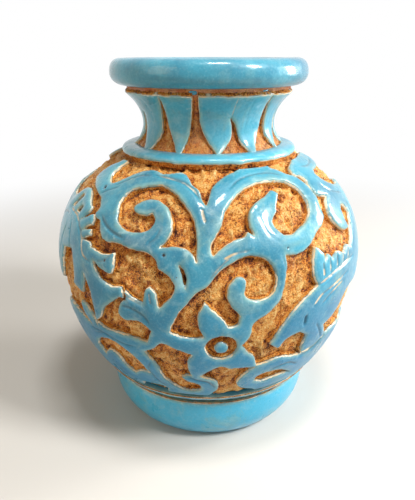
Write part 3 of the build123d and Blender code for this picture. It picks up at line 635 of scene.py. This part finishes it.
# -------------------- collar and neck
# Outlines of the collar's pockets: across in shares of PITCH and up in shares of COLLAR_H
HORN = [[(-0.5, -0.1), (-0.47, 0), (-0.36, 0.14), (-0.23, 0.3), (-0.2, 0.45), (-0.12, 0.74)],
        [(0.03, 0.95), (-0.02, 0.73), (-0.01, 0.45), (0.14, 0.23), (0.42, 0)],
        [(0.5, -0.1)]]
SLOT = [[(-0.5, -0.1), (-0.46, 0), (-0.33, 0.2), (-0.24, 0.45), (-0.18, 0.74)],
        [(-0.08, 1.1)],
        [(0.03, 1.1), (0, 0.73), (0.02, 0.45), (0.2, 0.22), (0.47, 0)],
        [(0.5, -0.1)]]
# Azimuth, side that the tip leans to and rise of each horn
HORNS = [(-65, 1, 0.66), (-34, 1, 1), (18, -1, 0.62), (46, -1, 1), (71, -1, 0.8), (96, -1, 1), (121, 1, 0.7),
         (146, 1, 1), (170, -1, 0.62), (195, 1, 0.9), (220, 1, 1), (245, -1, 0.75), (270, 1, 0.95)]
# Lines on the petals: points by azimuth and height in mm, half width, depth (a ridge if below zero) and cream
COLLAR_LINES = [
    ([(18.4, 229), (18.2, 225), (17.7, 218.5)], 0.6, 0.08, 0.66),
    ([(-9.6, 222), (-11.5, 214), (-14, 206), (-18.5, 199.6)], 1.5, -0.9, 0.62),
    ([(-52, 226), (-50, 218), (-49, 210)], 1.1, 0.14, 0.1),
    ([(31, 226), (30.4, 218), (29, 208)], 1.1, 0.12, 0.1),
    ([(6, 228), (5.4, 223), (5.6, 217)], 1.0, 0.12, 0.0),
    ([(-24, 222), (-22, 214), (-20.6, 207)], 1.1, 0.14, 0.1),
    ([(60, 224), (58.6, 214), (57, 204)], 1.1, 0.14, 0.2),
    ([(84, 226), (82.4, 216), (82, 206)], 1.1, 0.14, 0.2),
    ([(134, 226), (135, 216), (136, 204)], 1.1, 0.14, 0.3),
    ([(183, 226), (182, 214), (180, 206)], 1.1, 0.14, 0.2),
    ([(208, 224), (209, 214), (210, 206)], 1.1, 0.14, 0.2),
    ([(257, 226), (256, 216), (254, 206)], 1.1, 0.14, 0.2),
]
PITCH = 22.98  # mm between two pockets
COLLAR_LOW, COLLAR_H, WAIST_R = 197.2, 32.6, 44.0
NECK_DEPTH, PETAL_BACK, PETAL_END = 3.0, 4.2, -1.05  # mm under and past the petals' skin
LIP_SHADE_Z = 229.2  # from here up the neck is bare, red clay
HORN_REACH, FOLD_REACH = 30, 24  # degrees round a pocket or line in which it is worked out
P_COLS, N_COLS = 700, 460
collar = np.array(bulge([(51.2, 197.2), (47.2, 201.2), (44.4, 207), (44.15, 211.5), (45.4, 217), (49.4, 224),
                         (55.2, 229.8)], 0.62))
CA, CR = np.meshgrid(azimuths(P_COLS), collar[:, 0])
CZ = np.repeat(collar[:, 1:], P_COLS, 1)
cp = around(CA, CR, CZ)


def turn_from(az, start):
    """Azimuths counted from another one, between -180 and 180."""
    return (az - start + 180) % 360 - 180


c_edge = np.full(CA.shape, FAR)
for rows, az, lean, rise in [(HORN, *h) for h in HORNS] + [(SLOT, -7, 1, 1)]:
    line = closed_line(rows)
    da = turn_from(CA, az)
    near = abs(da) < HORN_REACH
    gap = signed((CR * np.sin(np.radians(da)))[near], CZ[near],
                 line[:, 0] * lean * PITCH, line[:, 1] * rise * COLLAR_H + COLLAR_LOW)
    c_edge[near] = np.minimum(c_edge[near], gap)

# the clay wall behind the petals and the bare band under the lip
neck_out = ([(53.0, 190.4)] + [(r - NECK_DEPTH, z) for r, z in collar]
            + dense([(53.0, 230.6), (53.4, 233.9)], 0.6))
neck_in = bulge([(44.0, 233.9), (39.6, 225), (36.1, 215), (34.5, 207), (34.9, 198), (36.0, 190.2)], 2.0)
neck = np.array(neck_out + neck_in + dense([(36.0, 190.2), (53.0, 190.4)], 3.0)[1:-1])
n = len(neck_out)
inner = np.zeros(len(neck))
inner[n:n + len(neck_in)] = 1
p = turned(neck, N_COLS)
h = rough(p[:n], 70)
edge_there = c_edge[:, np.round(np.arange(N_COLS) / N_COLS * P_COLS).astype(int) % P_COLS]
beside = np.zeros(h.shape)
beside[1:1 + len(collar)] = np.exp(-np.maximum(-edge_there - 0.7, 0)) * (edge_there < 0)
lift = np.clip(h, -0.9, 0.9) * np.where(neck[:n, 1:] > 229.5, 0.45, 0.8) - 0.5 * beside
p[:n] += around(azimuths(N_COLS)) * lift[..., None]
# painted light and shade: the neck's clay is darker where it lies low and beside the petals' pockets
cavity_shade = np.zeros(p.shape[:2])
cavity_shade[:n] = h + 0.25 - 1.6 * beside
# drops of glaze that ran down from the lip: azimuth, height, half width and half height
drops = np.zeros(p.shape[:2])
for az, z, w, tall in ((-9.5, 231.8, 2.6, 1.2), (38.5, 231.6, 2.8, 1.3), (150, 231.8, 2.4, 1.1),
                       (251, 231.7, 3.0, 1.2)):
    da = turn_from(azimuths(N_COLS), az) * 0.93
    drops = np.maximum(drops, np.exp(-((da / w) ** 4 + ((neck[:, 1:] - z) / tall) ** 4))
                       * (1 - inner[:, None]))
red = np.where(neck[:, 1] > LIP_SHADE_Z, 1.0, 0.4) * (1 - inner)
lathe("neck_wall", "bare_clay", p, {"cavity_shade": cavity_shade, "inner": inner, "drops": drops, "red": red})

# petals
c_line, c_cream = np.zeros((2, *CA.shape))
for points, half, deep, pale in COLLAR_LINES:
    line = open_line(points)
    da = turn_from(CA, line[0, 0])
    near = abs(da) < FOLD_REACH
    d = nearest((CR * np.radians(da))[near], CZ[near],
                WAIST_R * np.radians(line[:, 0] - line[0, 0]), line[:, 1], closed=False)[0]
    more = deep * np.exp(-(d / half) ** 2)
    c_line[near] = np.where(abs(more) > abs(c_line[near]), more, c_line[near])
    c_cream[near] = np.maximum(c_cream[near], pale * np.exp(-(d / max(half, 0.8)) ** 2))
run = np.cumsum(np.hypot(*np.diff(collar, axis=0).T)[::-1])[::-1]
top_edge = np.repeat(np.append(run, 0)[:, None], P_COLS, 1)
wobble = 0.22 * noise(cp, 20, 31) + 0.1 * noise(cp, 7, 32)
ragged = c_edge + 0.2 * noise(cp, 2.6, 33) + 0.1 * noise(cp, 1.2, 34)
ragged_top = top_edge + 0.6 * noise(cp, 6, 35) + 0.45 * noise(cp, 2.2, 36) - 0.4
depth = 0.75 * np.exp(-np.maximum(ragged, 0) / 1.6) + 3.4 * step(-ragged, -0.45, 0.95) + 0.2 + 0.6 * wobble
depth += 1.4 * step(-ragged_top, -0.5, 0.5) + c_line * (ragged > -0.2)
normal = np.gradient(collar, axis=0) @ [[0, -1], [1, 0]]
normal /= np.hypot(*normal.T)[:, None]
normal = around(CA, normal[:, :1], normal[:, 1:])
rim_cream = np.exp(-((top_edge - 0.5) / 0.7) ** 2) * (0.45 + 0.55 * step(noise(cp, 4, 37), -0.5, 0.1))
sheet("neck_petals", cp - normal * depth[..., None], cp - normal * PETAL_BACK, corners(ragged) > PETAL_END,
      {"edge": np.minimum(ragged, ragged_top), "cream": np.maximum(c_cream, rim_cream),
       "sink": np.maximum(c_line, 0)})


# -------------------- turned glazed rings
def uneven(profile, cols, seed, big, small, sizes=(30, 8)):
    """Turned points pushed out and in from the middle of their section, as hand-thrown clay is."""
    p = turned(profile, cols)
    out = np.array(profile, float)
    out -= out.mean(axis=0)
    out /= np.hypot(*out.T)[:, None]
    amount = big * noise(p, sizes[0], seed) + small * noise(p, sizes[1], seed + 1) - big * 0.75
    return p + turned(out, cols) * amount[..., None]


def edge_along(profile, sharp):
    """Distance along a closed profile to the nearest of some of its sharp places."""
    p = np.array(profile, float)
    return np.minimum(FAR, np.min([np.hypot(*(p - np.array(q)).T) for q in sharp], axis=0))


RING_COLS, BEAD_COLS = 420, 620
LIP_R, LIP_Z = 56, 241  # the middle of its section
lip = [(LIP_R + 8 * math.cos(t), LIP_Z + 7.4 * math.sin(t)) for t in np.radians(np.linspace(-90, 0, 18)[:-1])]
lip += [(LIP_R + 8 * math.cos(t) ** 0.8, LIP_Z + 9 * math.sin(t) ** 0.9)
        for t in np.radians(np.linspace(0, 90, 20)[:-1])]
lip += [(LIP_R + 12 * math.cos(t), LIP_Z + 9 * max(math.sin(t), 0) ** 0.9)
        for t in np.radians(np.linspace(90, 180, 20))]
lip += dense([(44, LIP_Z), (44, 233.6), (LIP_R, 233.6)], 1.4)[1:-1]
lathe("lip_roll", "glaze", uneven(lip, RING_COLS, 41, 0.28, 0.07), {"edge": np.full(len(lip), FAR)})

r, z = profile_at(tilt(BAND_LAT))
corner, back = (r - 0.25, z - 0.4), profile_at(tilt(BAND_LAT), SUNK)
band = dense([back, corner], 0.5)[:-1]
band += bulge([corner, (r - 0.2, z + 0.9), (57.6, 195.6), (54.4, 196.9), (51.0, 197.3)], 0.45)
band += dense([(51.0, 197.3), (48.4, 197.2), (52.6, 190.2), (55.2, 190.1), back], 1.2)[1:-1]
band_edge = edge_along(band, [corner])
band_edge = np.where(np.array(band)[:, 1] < z - 0.1, np.maximum(-band_edge, -0.4), band_edge)
flat = turned(band, BEAD_COLS) * [1, 1, 0]
cut = 0.42 * noise(flat, 9, 44) + 0.25 * noise(flat, 3.2, 45)
low = np.exp(-np.maximum(band_edge, 0) / 1.6)[:, None]
p = uneven(band, BEAD_COLS, 42, 0.16, 0.08, (26, 6))
p += turned([(0.7, -0.7)], BEAD_COLS) * (cut * low - 0.1 * low)[..., None]
lathe("shoulder_band", "glaze", p, {"edge": band_edge})

low_out, high_out = (np.array(profile_at(tilt(lat), 0.2)) for lat in (FILLET_LOW, FILLET_HIGH))
low_in, high_in = (profile_at(tilt(lat), 4.3) for lat in (FILLET_LOW, FILLET_HIGH))
fillet = dense([low_in, low_out], 0.6)[:-1]
fillet += bulge([low_out, (low_out + high_out) / 2 + [0.3, -0.3], high_out], 0.4)
fillet += dense([high_out, high_in], 0.6)[1:] + dense([high_in, low_in], 0.8)[1:-1]
lathe("foot_fillet", "glaze", uneven(fillet, BEAD_COLS, 46, 0.2, 0.16, (12, 3.5)),
      {"edge": edge_along(fillet, [low_out, high_out]) - 0.35})

foot = bulge([(63.2, 0.6), (66.4, 3.2), (69.6, 7.4), (72.3, 12.6), (73.9, 18), (74.7, 24), (75.0, 30),
              (74.9, 34.4)], 1.0)
foot += bulge([(74.9, 34.4), (74.2, 35.6), (72.6, FOOT_TOP)], 0.35)[1:]
foot += dense([(72.6, FOOT_TOP), (55.2, FOOT_TOP), (51.0, 1.2), (51.8, 0.02), (62.0, 0.02),
               (63.2, 0.6)], 2.6)[1:-1]
lathe("foot_ring", "glaze", turned(foot, RING_COLS), {"edge": edge_along(foot, [(74.4, 35.4)]) - 0.2})


# -------------------- materials
def lin(r, g, b):
    """Linear colour of an sRGB colour from 0 to 255."""
    shares = (v / 255 for v in (r, g, b))
    return (*(v / 12.92 if v <= 0.04045 else ((v + 0.055) / 1.055) ** 2.4 for v in shares), 1)


class Nodes:
    """Emptied node tree of a material or world, with short ways to add to it."""

    def __init__(self, owner, end="ShaderNodeOutputMaterial"):
        owner.use_nodes = True
        self.owner, self.tree = owner, owner.node_tree
        self.tree.nodes.clear()
        self.end = self.add(end)
        self.coord = None

    def add(self, kind, *ordered, **named):
        """New node, with values or links for its first inputs and for named ones."""
        node = self.tree.nodes.new(kind)
        for key, value in (*enumerate(ordered), *named.items()):
            self.put(node, key, value)
        return node

    def put(self, node, key, value):
        socket = node.inputs[key.replace("_", " ") if isinstance(key, str) else key]
        if isinstance(value, bpy.types.NodeSocket):
            self.tree.links.new(value, socket)
        else:
            socket.default_value = value

    def place(self):
        self.coord = self.coord or self.add("ShaderNodeTexCoord").outputs["Object"]
        return self.coord

    def attr(self, name):
        """Value at the piece's points, which is 0 on a piece without it."""
        node = self.add("ShaderNodeAttribute")
        node.attribute_name = name
        return node.outputs["Fac"]

    def math(self, op, a, b=0.0, clamp=False):
        node = self.add("ShaderNodeMath", a, b)
        node.operation, node.use_clamp = op, clamp
        return node.outputs[0]

    def plus(self, a, b):
        return self.math("ADD", a, b)

    def minus(self, a, b):
        return self.math("SUBTRACT", a, b)

    def times(self, a, b):
        return self.math("MULTIPLY", a, b)

    def most(self, a, b):
        return self.math("MAXIMUM", a, b)

    def total(self, value, *parts):
        """A value plus parts, each times its weight."""
        for part, weight in parts:
            value = self.plus(value, self.times(part, weight))
        return value

    def vector(self, op, a, b=(0, 0, 0)):
        node = self.add("ShaderNodeVectorMath", a, b)
        node.operation = op
        return node.outputs["Value" if op == "LENGTH" else "Vector"]

    def remap(self, value, lo, hi, a=0.0, b=1.0, smooth=True):
        node = self.add("ShaderNodeMapRange", value, lo, hi, a, b)
        node.interpolation_type = "SMOOTHSTEP" if smooth else "LINEAR"
        return node.outputs["Result"]

    def mix(self, share, a, b):
        node = self.add("ShaderNodeMix")
        node.data_type = "RGBA"
        for key, value in ((0, share), (6, a), (7, b)):  # the inputs of its colour form
            self.put(node, key, value)
        return node.outputs[2]

    def tint(self, colour, *layers):
        """A colour under layers of others, each with its share and, if given, a weight for that."""
        for rgb, share, *weight in layers:
            colour = self.mix(self.times(share, *weight) if weight else share, colour, lin(*rgb))
        return colour

    def noise(self, scale, detail=3.0, rough=0.55, distort=0.0, vector=None):
        node = self.add("ShaderNodeTexNoise", Vector=vector or self.place(), Scale=scale, Detail=detail,
                        Roughness=rough, Distortion=distort)
        return node.outputs["Fac"]

    def cells(self, scale, vector=None):
        return self.add("ShaderNodeTexVoronoi", Vector=vector or self.place(),
                        Scale=scale).outputs["Distance"]

    def bump(self, height, strength, size, normal=None):
        node = self.add("ShaderNodeBump", Height=height, Strength=strength, Distance=size)
        if normal is not None:
            self.put(node, "Normal", normal)
        return node.outputs["Normal"]

    def finish(self, shader):
        self.put(self.end, "Surface", shader.outputs[0])
        return self.owner


def clay_parts(m, cavity_shade):
    """Colour and height of bare carved clay, with painted shade where it lies deep, in low places, pits and
    cracks, and painted light where its tool marks rise, over its own uneven tone.
    """
    bend = m.add("ShaderNodeTexNoise", Vector=m.place(), Scale=420).outputs["Color"]
    bent = m.vector("ADD", m.place(), m.vector("MULTIPLY", bend, (0.0022,) * 3))
    big = m.noise(45, 3, 0.6)
    mid = m.noise(190, 6, 0.68, 0.9)
    fine = m.noise(900, 4, 0.7)
    grit = m.noise(560, 4, 0.72, 0.4)
    sand = m.noise(1350, 2, 0.7)
    streak = m.noise(300, 5, 0.66, 1.2, m.vector("MULTIPLY", bent, (1.0, 1.0, 0.4)))
    chip = m.cells(240, bent)
    pit = m.times(m.remap(m.cells(130, bent), 0.26, 0.14), m.remap(m.noise(60, 2, 0.5), 0.48, 0.6))
    # hair cracks where the tool tore the clay, darkened like the pits with painted shade
    tear = m.math("ABSOLUTE", m.minus(m.noise(150, 3, 0.6, 1.6), 0.5))
    tear = m.times(m.remap(tear, 0.022, 0.006), m.remap(m.noise(70, 2, 0.5), 0.5, 0.6))
    # painted light and shade: the noises that raise the clay also lighten it, and its low places are darker,
    # on top of its random tone
    tone_light_and_shade = m.total(m.times(cavity_shade, 0.45), *((m.minus(part, 0.5), weight) for part, weight in (
        (mid, 0.5), (big, 0.4), (streak, 1.5), (grit, 1.9), (sand, 4.4))))
    tone_light_and_shade = m.total(m.minus(tone_light_and_shade, m.remap(mid, 0.40, 0.34, 0, 0.5)), (pit, -0.7), (tear, -1.3))
    ramp = m.add("ShaderNodeValToRGB", m.remap(tone_light_and_shade, -1.25, 0.9, smooth=False))
    first, last = ramp.color_ramp.elements
    first.color, last.color = lin(70, 26, 6), lin(255, 220, 150)
    for place, rgb in ((0.16, (124, 56, 14)), (0.33, (206, 112, 32)),
                       (0.52, (234, 148, 52)), (0.75, (248, 186, 92))):
        ramp.color_ramp.elements.new(place).color = lin(*rgb)
    # painted highlights: pale specks of glint on the clay's raised places
    painted_glint = m.times(m.remap(sand, 0.66, 0.72), m.remap(mid, 0.45, 0.6))
    colour = m.tint(ramp.outputs["Color"],
                    ((140, 66, 40), m.remap(m.noise(120, 2, 0.5), 0.55, 0.72), 0.4),
                    ((254, 236, 200), painted_glint, 0.7))
    height = m.total(m.times(mid, 1.8), (fine, 0.3), (grit, 1.3), (streak, 1.6),
                     (chip, 0.3), (pit, -0.8), (tear, -0.5))
    return colour, height


def glaze_material():
    m = Nodes(bpy.data.materials.new("faience_glaze"))
    big, mid, fine = m.noise(16, 2, 0.5), m.noise(70), m.noise(420, 3, 0.6)
    shift = m.times(m.minus(fine, 0.5), 0.55)
    e = m.plus(m.attr("edge"), shift)
    up = m.add("ShaderNodeSeparateXYZ", m.place()).outputs["Z"]
    # by height in metres: the glaze ran down, so it is thicker low on the belly, and the foot is brighter
    run_down = m.times(m.remap(up, 0.165, 0.075), m.remap(up, 0.034, 0.046))
    # painted light: the petals are lightened against the shade that the lip casts on them
    collar = m.times(m.remap(up, 0.188, 0.194), m.remap(up, 0.2305, 0.229))
    # the lip was wiped smooth and shows fewer of the clouds
    cloudy = m.remap(up, 0.231, 0.234, 1.0, 0.4)
    worn = m.remap(m.noise(52, 4, 0.65, 0.6), 0.5, 0.68)
    thin = m.remap(e, 3.2, 0.5)
    milk = m.remap(m.noise(85, 4, 0.6, 1.5), 0.5, 0.72)
    milk = m.times(m.times(milk, m.minus(1.0, m.times(run_down, 0.6))), cloudy)
    grain = m.noise(800, 3, 0.65)
    # deeper where it lies thick, paler and greener where it runs thin by an edge
    blue = m.tint(
        m.mix(m.remap(big, 0.35, 0.65), lin(30, 110, 138), lin(56, 148, 174)),
        ((82, 162, 182), m.remap(mid, 0.4, 0.72), 0.45),
        ((40, 108, 136), m.remap(m.noise(150, 2, 0.6), 0.56, 0.7), 0.25),
        ((2, 116, 166), run_down, 0.7),
        ((86, 182, 210), collar, 0.4),
        ((38, 182, 226), m.remap(up, 0.037, 0.033, 0, 0.66)),
        ((128, 160, 148), m.times(worn, cloudy), 0.34),
        ((138, 176, 166), m.times(thin, m.remap(mid, 0.3, 0.65, 0.35, 1.0)), 0.6),
        ((164, 200, 204), milk, m.remap(e, 5.0, 1.0, 0.2, 0.6)),
        ((44, 100, 118), m.remap(grain, 0.5, 0.72, 0, 0.2)),
        ((150, 196, 200), m.remap(grain, 0.5, 0.3, 0, 0.14)),
        ((38, 92, 112), m.remap(m.attr("sink"), 0.12, 0.6), 0.55))
    # cream slip that shows where the glaze breaks over an edge
    line = m.times(m.remap(e, 0.6, 0.38), m.remap(e, -0.1, 0.12))
    line = m.most(line, m.times(m.remap(m.plus(m.attr("cream"), m.times(shift, 0.8)), 0.42, 0.8), 0.85))
    line = m.times(line, m.remap(m.noise(110, 3, 0.65), 0.38, 0.6, 0.1, 1.0))
    pale = m.mix(m.remap(mid, 0.4, 0.65), lin(236, 222, 194), lin(208, 176, 126))
    # painted shade: the clay on the figures' flanks darkens from their top edge down to the ground
    clay, height = clay_parts(m, m.minus(0.35, m.times(m.remap(e, 0.1, -0.9), 1.5)))
    bare = m.remap(e, 0.12, -0.08)
    specks = m.most(m.remap(m.cells(75), 0.045, 0.025), m.remap(m.cells(31), 0.03, 0.02))
    specks = m.times(specks, m.remap(m.noise(24, 2, 0.5), 0.45, 0.6))
    colour = m.tint(m.mix(bare, m.mix(line, blue, pale), clay),
                    ((70, 50, 38), specks, 0.8), ((44, 30, 22), m.remap(m.attr("pit"), 0.3, 0.7)))
    dull = m.most(m.times(line, 0.6), bare)
    rough = m.math("ADD", m.remap(m.noise(60, 3, 0.6), 0.3, 0.7, 0.26, 0.42), m.times(dull, 0.5), clamp=True)
    coat = m.times(m.minus(1.0, dull), m.minus(0.5, m.times(run_down, 0.36)))
    normal = m.bump(m.noise(38, 2, 0.5), 0.22, 0.0012)
    normal = m.bump(m.noise(190, 3, 0.6), 0.5, 0.0006, normal)
    normal = m.bump(m.times(height, bare), 1.0, 0.0016, normal)
    return m.finish(m.add("ShaderNodeBsdfPrincipled", Base_Color=colour, Roughness=rough, IOR=1.4,
                          Coat_Weight=coat, Coat_Roughness=0.06, Normal=normal))


def clay_material():
    m = Nodes(bpy.data.materials.new("bare_clay"))
    clay, height = clay_parts(m, m.attr("cavity_shade"))
    glazed = m.most(m.remap(m.attr("inner"), 0.4, 0.6), m.remap(m.attr("drops"), 0.35, 0.6))
    # red clay on the neck's outside, most of all in the band under the lip; there it is also painted lighter,
    # against the shade that the lip casts
    reddish = m.mix(m.remap(m.noise(70, 2, 0.5), 0.4, 0.6), lin(222, 118, 76), lin(240, 164, 130))
    blue = m.mix(m.remap(m.noise(20, 2, 0.5), 0.35, 0.65), lin(52, 132, 160), lin(84, 164, 188))
    red = m.times(m.attr("red"), m.remap(m.noise(160, 3, 0.6), 0.3, 0.7, 0.45, 0.95))
    colour = m.mix(glazed, m.mix(red, clay, reddish), blue)
    normal = m.bump(m.times(height, m.minus(1.0, glazed)), 1.0, 0.0015)
    normal = m.bump(m.noise(1500, 2, 0.6), 0.6, 0.0004, normal)
    return m.finish(m.add("ShaderNodeBsdfPrincipled", Base_Color=colour, Normal=normal,
                          Roughness=m.remap(glazed, 0.0, 1.0, 0.46, 0.22)))


glaze, clay = glaze_material(), clay_material()
for node, piece in pieces.items():
    piece.data.materials.append(clay if node in ("body_wall", "neck_wall") else glaze)
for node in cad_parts.values():
    for slot in node.material_slots:
        slot.material = glaze


# -------------------- floor, light, camera
def seen(m):
    """1 where the camera looks, straight, by a reflection or through glass, and 0 for light on the object."""
    rays = m.add("ShaderNodeLightPath").outputs
    return m.most(m.most(rays["Is Camera Ray"], rays["Is Glossy Ray"]), rays["Is Transmission Ray"])


floor_mesh = bpy.data.meshes.new("floor")
floor_mesh.from_pydata([(-4, -4, 0), (4, -4, 0), (4, 4, 0), (-4, 4, 0)], [], [(0, 1, 2, 3)])
floor = bpy.data.objects.new("floor", floor_mesh)
scene = bpy.context.scene
scene.collection.objects.link(floor)
m = Nodes(bpy.data.materials.new("floor_plain"))
away = m.vector("LENGTH", m.add("ShaderNodeNewGeometry").outputs["Position"])
plain = m.add("ShaderNodeBsdfPrincipled", Base_Color=lin(206, 204, 200), Roughness=0.85)
glow = m.add("ShaderNodeEmission", Color=(1, 1, 1, 1))
white_share = m.times(m.remap(away, 0.22, 0.8), seen(m))
floor_mesh.materials.append(
    m.finish(m.add("ShaderNodeMixShader", white_share, plain.outputs[0], glow.outputs[0])))

scene.world = bpy.data.worlds.new("studio")
m = Nodes(scene.world, "ShaderNodeOutputWorld")
soft = m.add("ShaderNodeBackground", Color=(1.0, 0.94, 0.84, 1), Strength=0.29)
white = m.add("ShaderNodeBackground", Color=(1, 1, 1, 1), Strength=1.0)
m.finish(m.add("ShaderNodeMixShader", seen(m), soft.outputs[0], white.outputs[0]))

# lamps: place, height they aim at on the axis, power, width, height and colour
for name, place, aim, power, width, height, colour in (
    ("window", (1.0, 0.22, 0.42), 0.14, 10.5, 0.3, 0.42, (1.0, 0.98, 0.95)),
    ("key", (0.66, -0.42, 0.85), 0.12, 11, 0.2, 0.28, (1.0, 0.98, 0.95)),
    ("sky", (0.12, -0.25, 1.1), 0.1, 5.5, 0.24, 0.16, (1.0, 0.99, 0.97)),
    ("side", (-0.8, -0.55, 0.6), 0.12, 2.2, 0.5, 0.7, (1.0, 0.74, 0.44)),
):
    lamp = bpy.data.lights.new(name, "AREA")
    lamp.shape = "RECTANGLE"
    lamp.size, lamp.size_y = width, height
    lamp.energy, lamp.color = power, colour
    light = bpy.data.objects.new(name, lamp)
    light.location = place
    light.rotation_euler = (Vector((0, 0, aim)) - Vector(place)).to_track_quat("-Z", "Y").to_euler()
    scene.collection.objects.link(light)

CAMERA_TILT = 67.76  # degrees up from looking straight down
camera_data = bpy.data.cameras.new("camera")
camera_data.lens = 34.56
camera_data.sensor_width = 36.0
camera_data.shift_x = -0.0022
camera_data.clip_start = 0.01
camera = bpy.data.objects.new("camera", camera_data)
camera.location = (0.0, -0.333, 0.252)
camera.rotation_euler = (math.radians(CAMERA_TILT), 0, 0)
scene.collection.objects.link(camera)
scene.camera = camera
scene.view_settings.view_transform = "Standard"
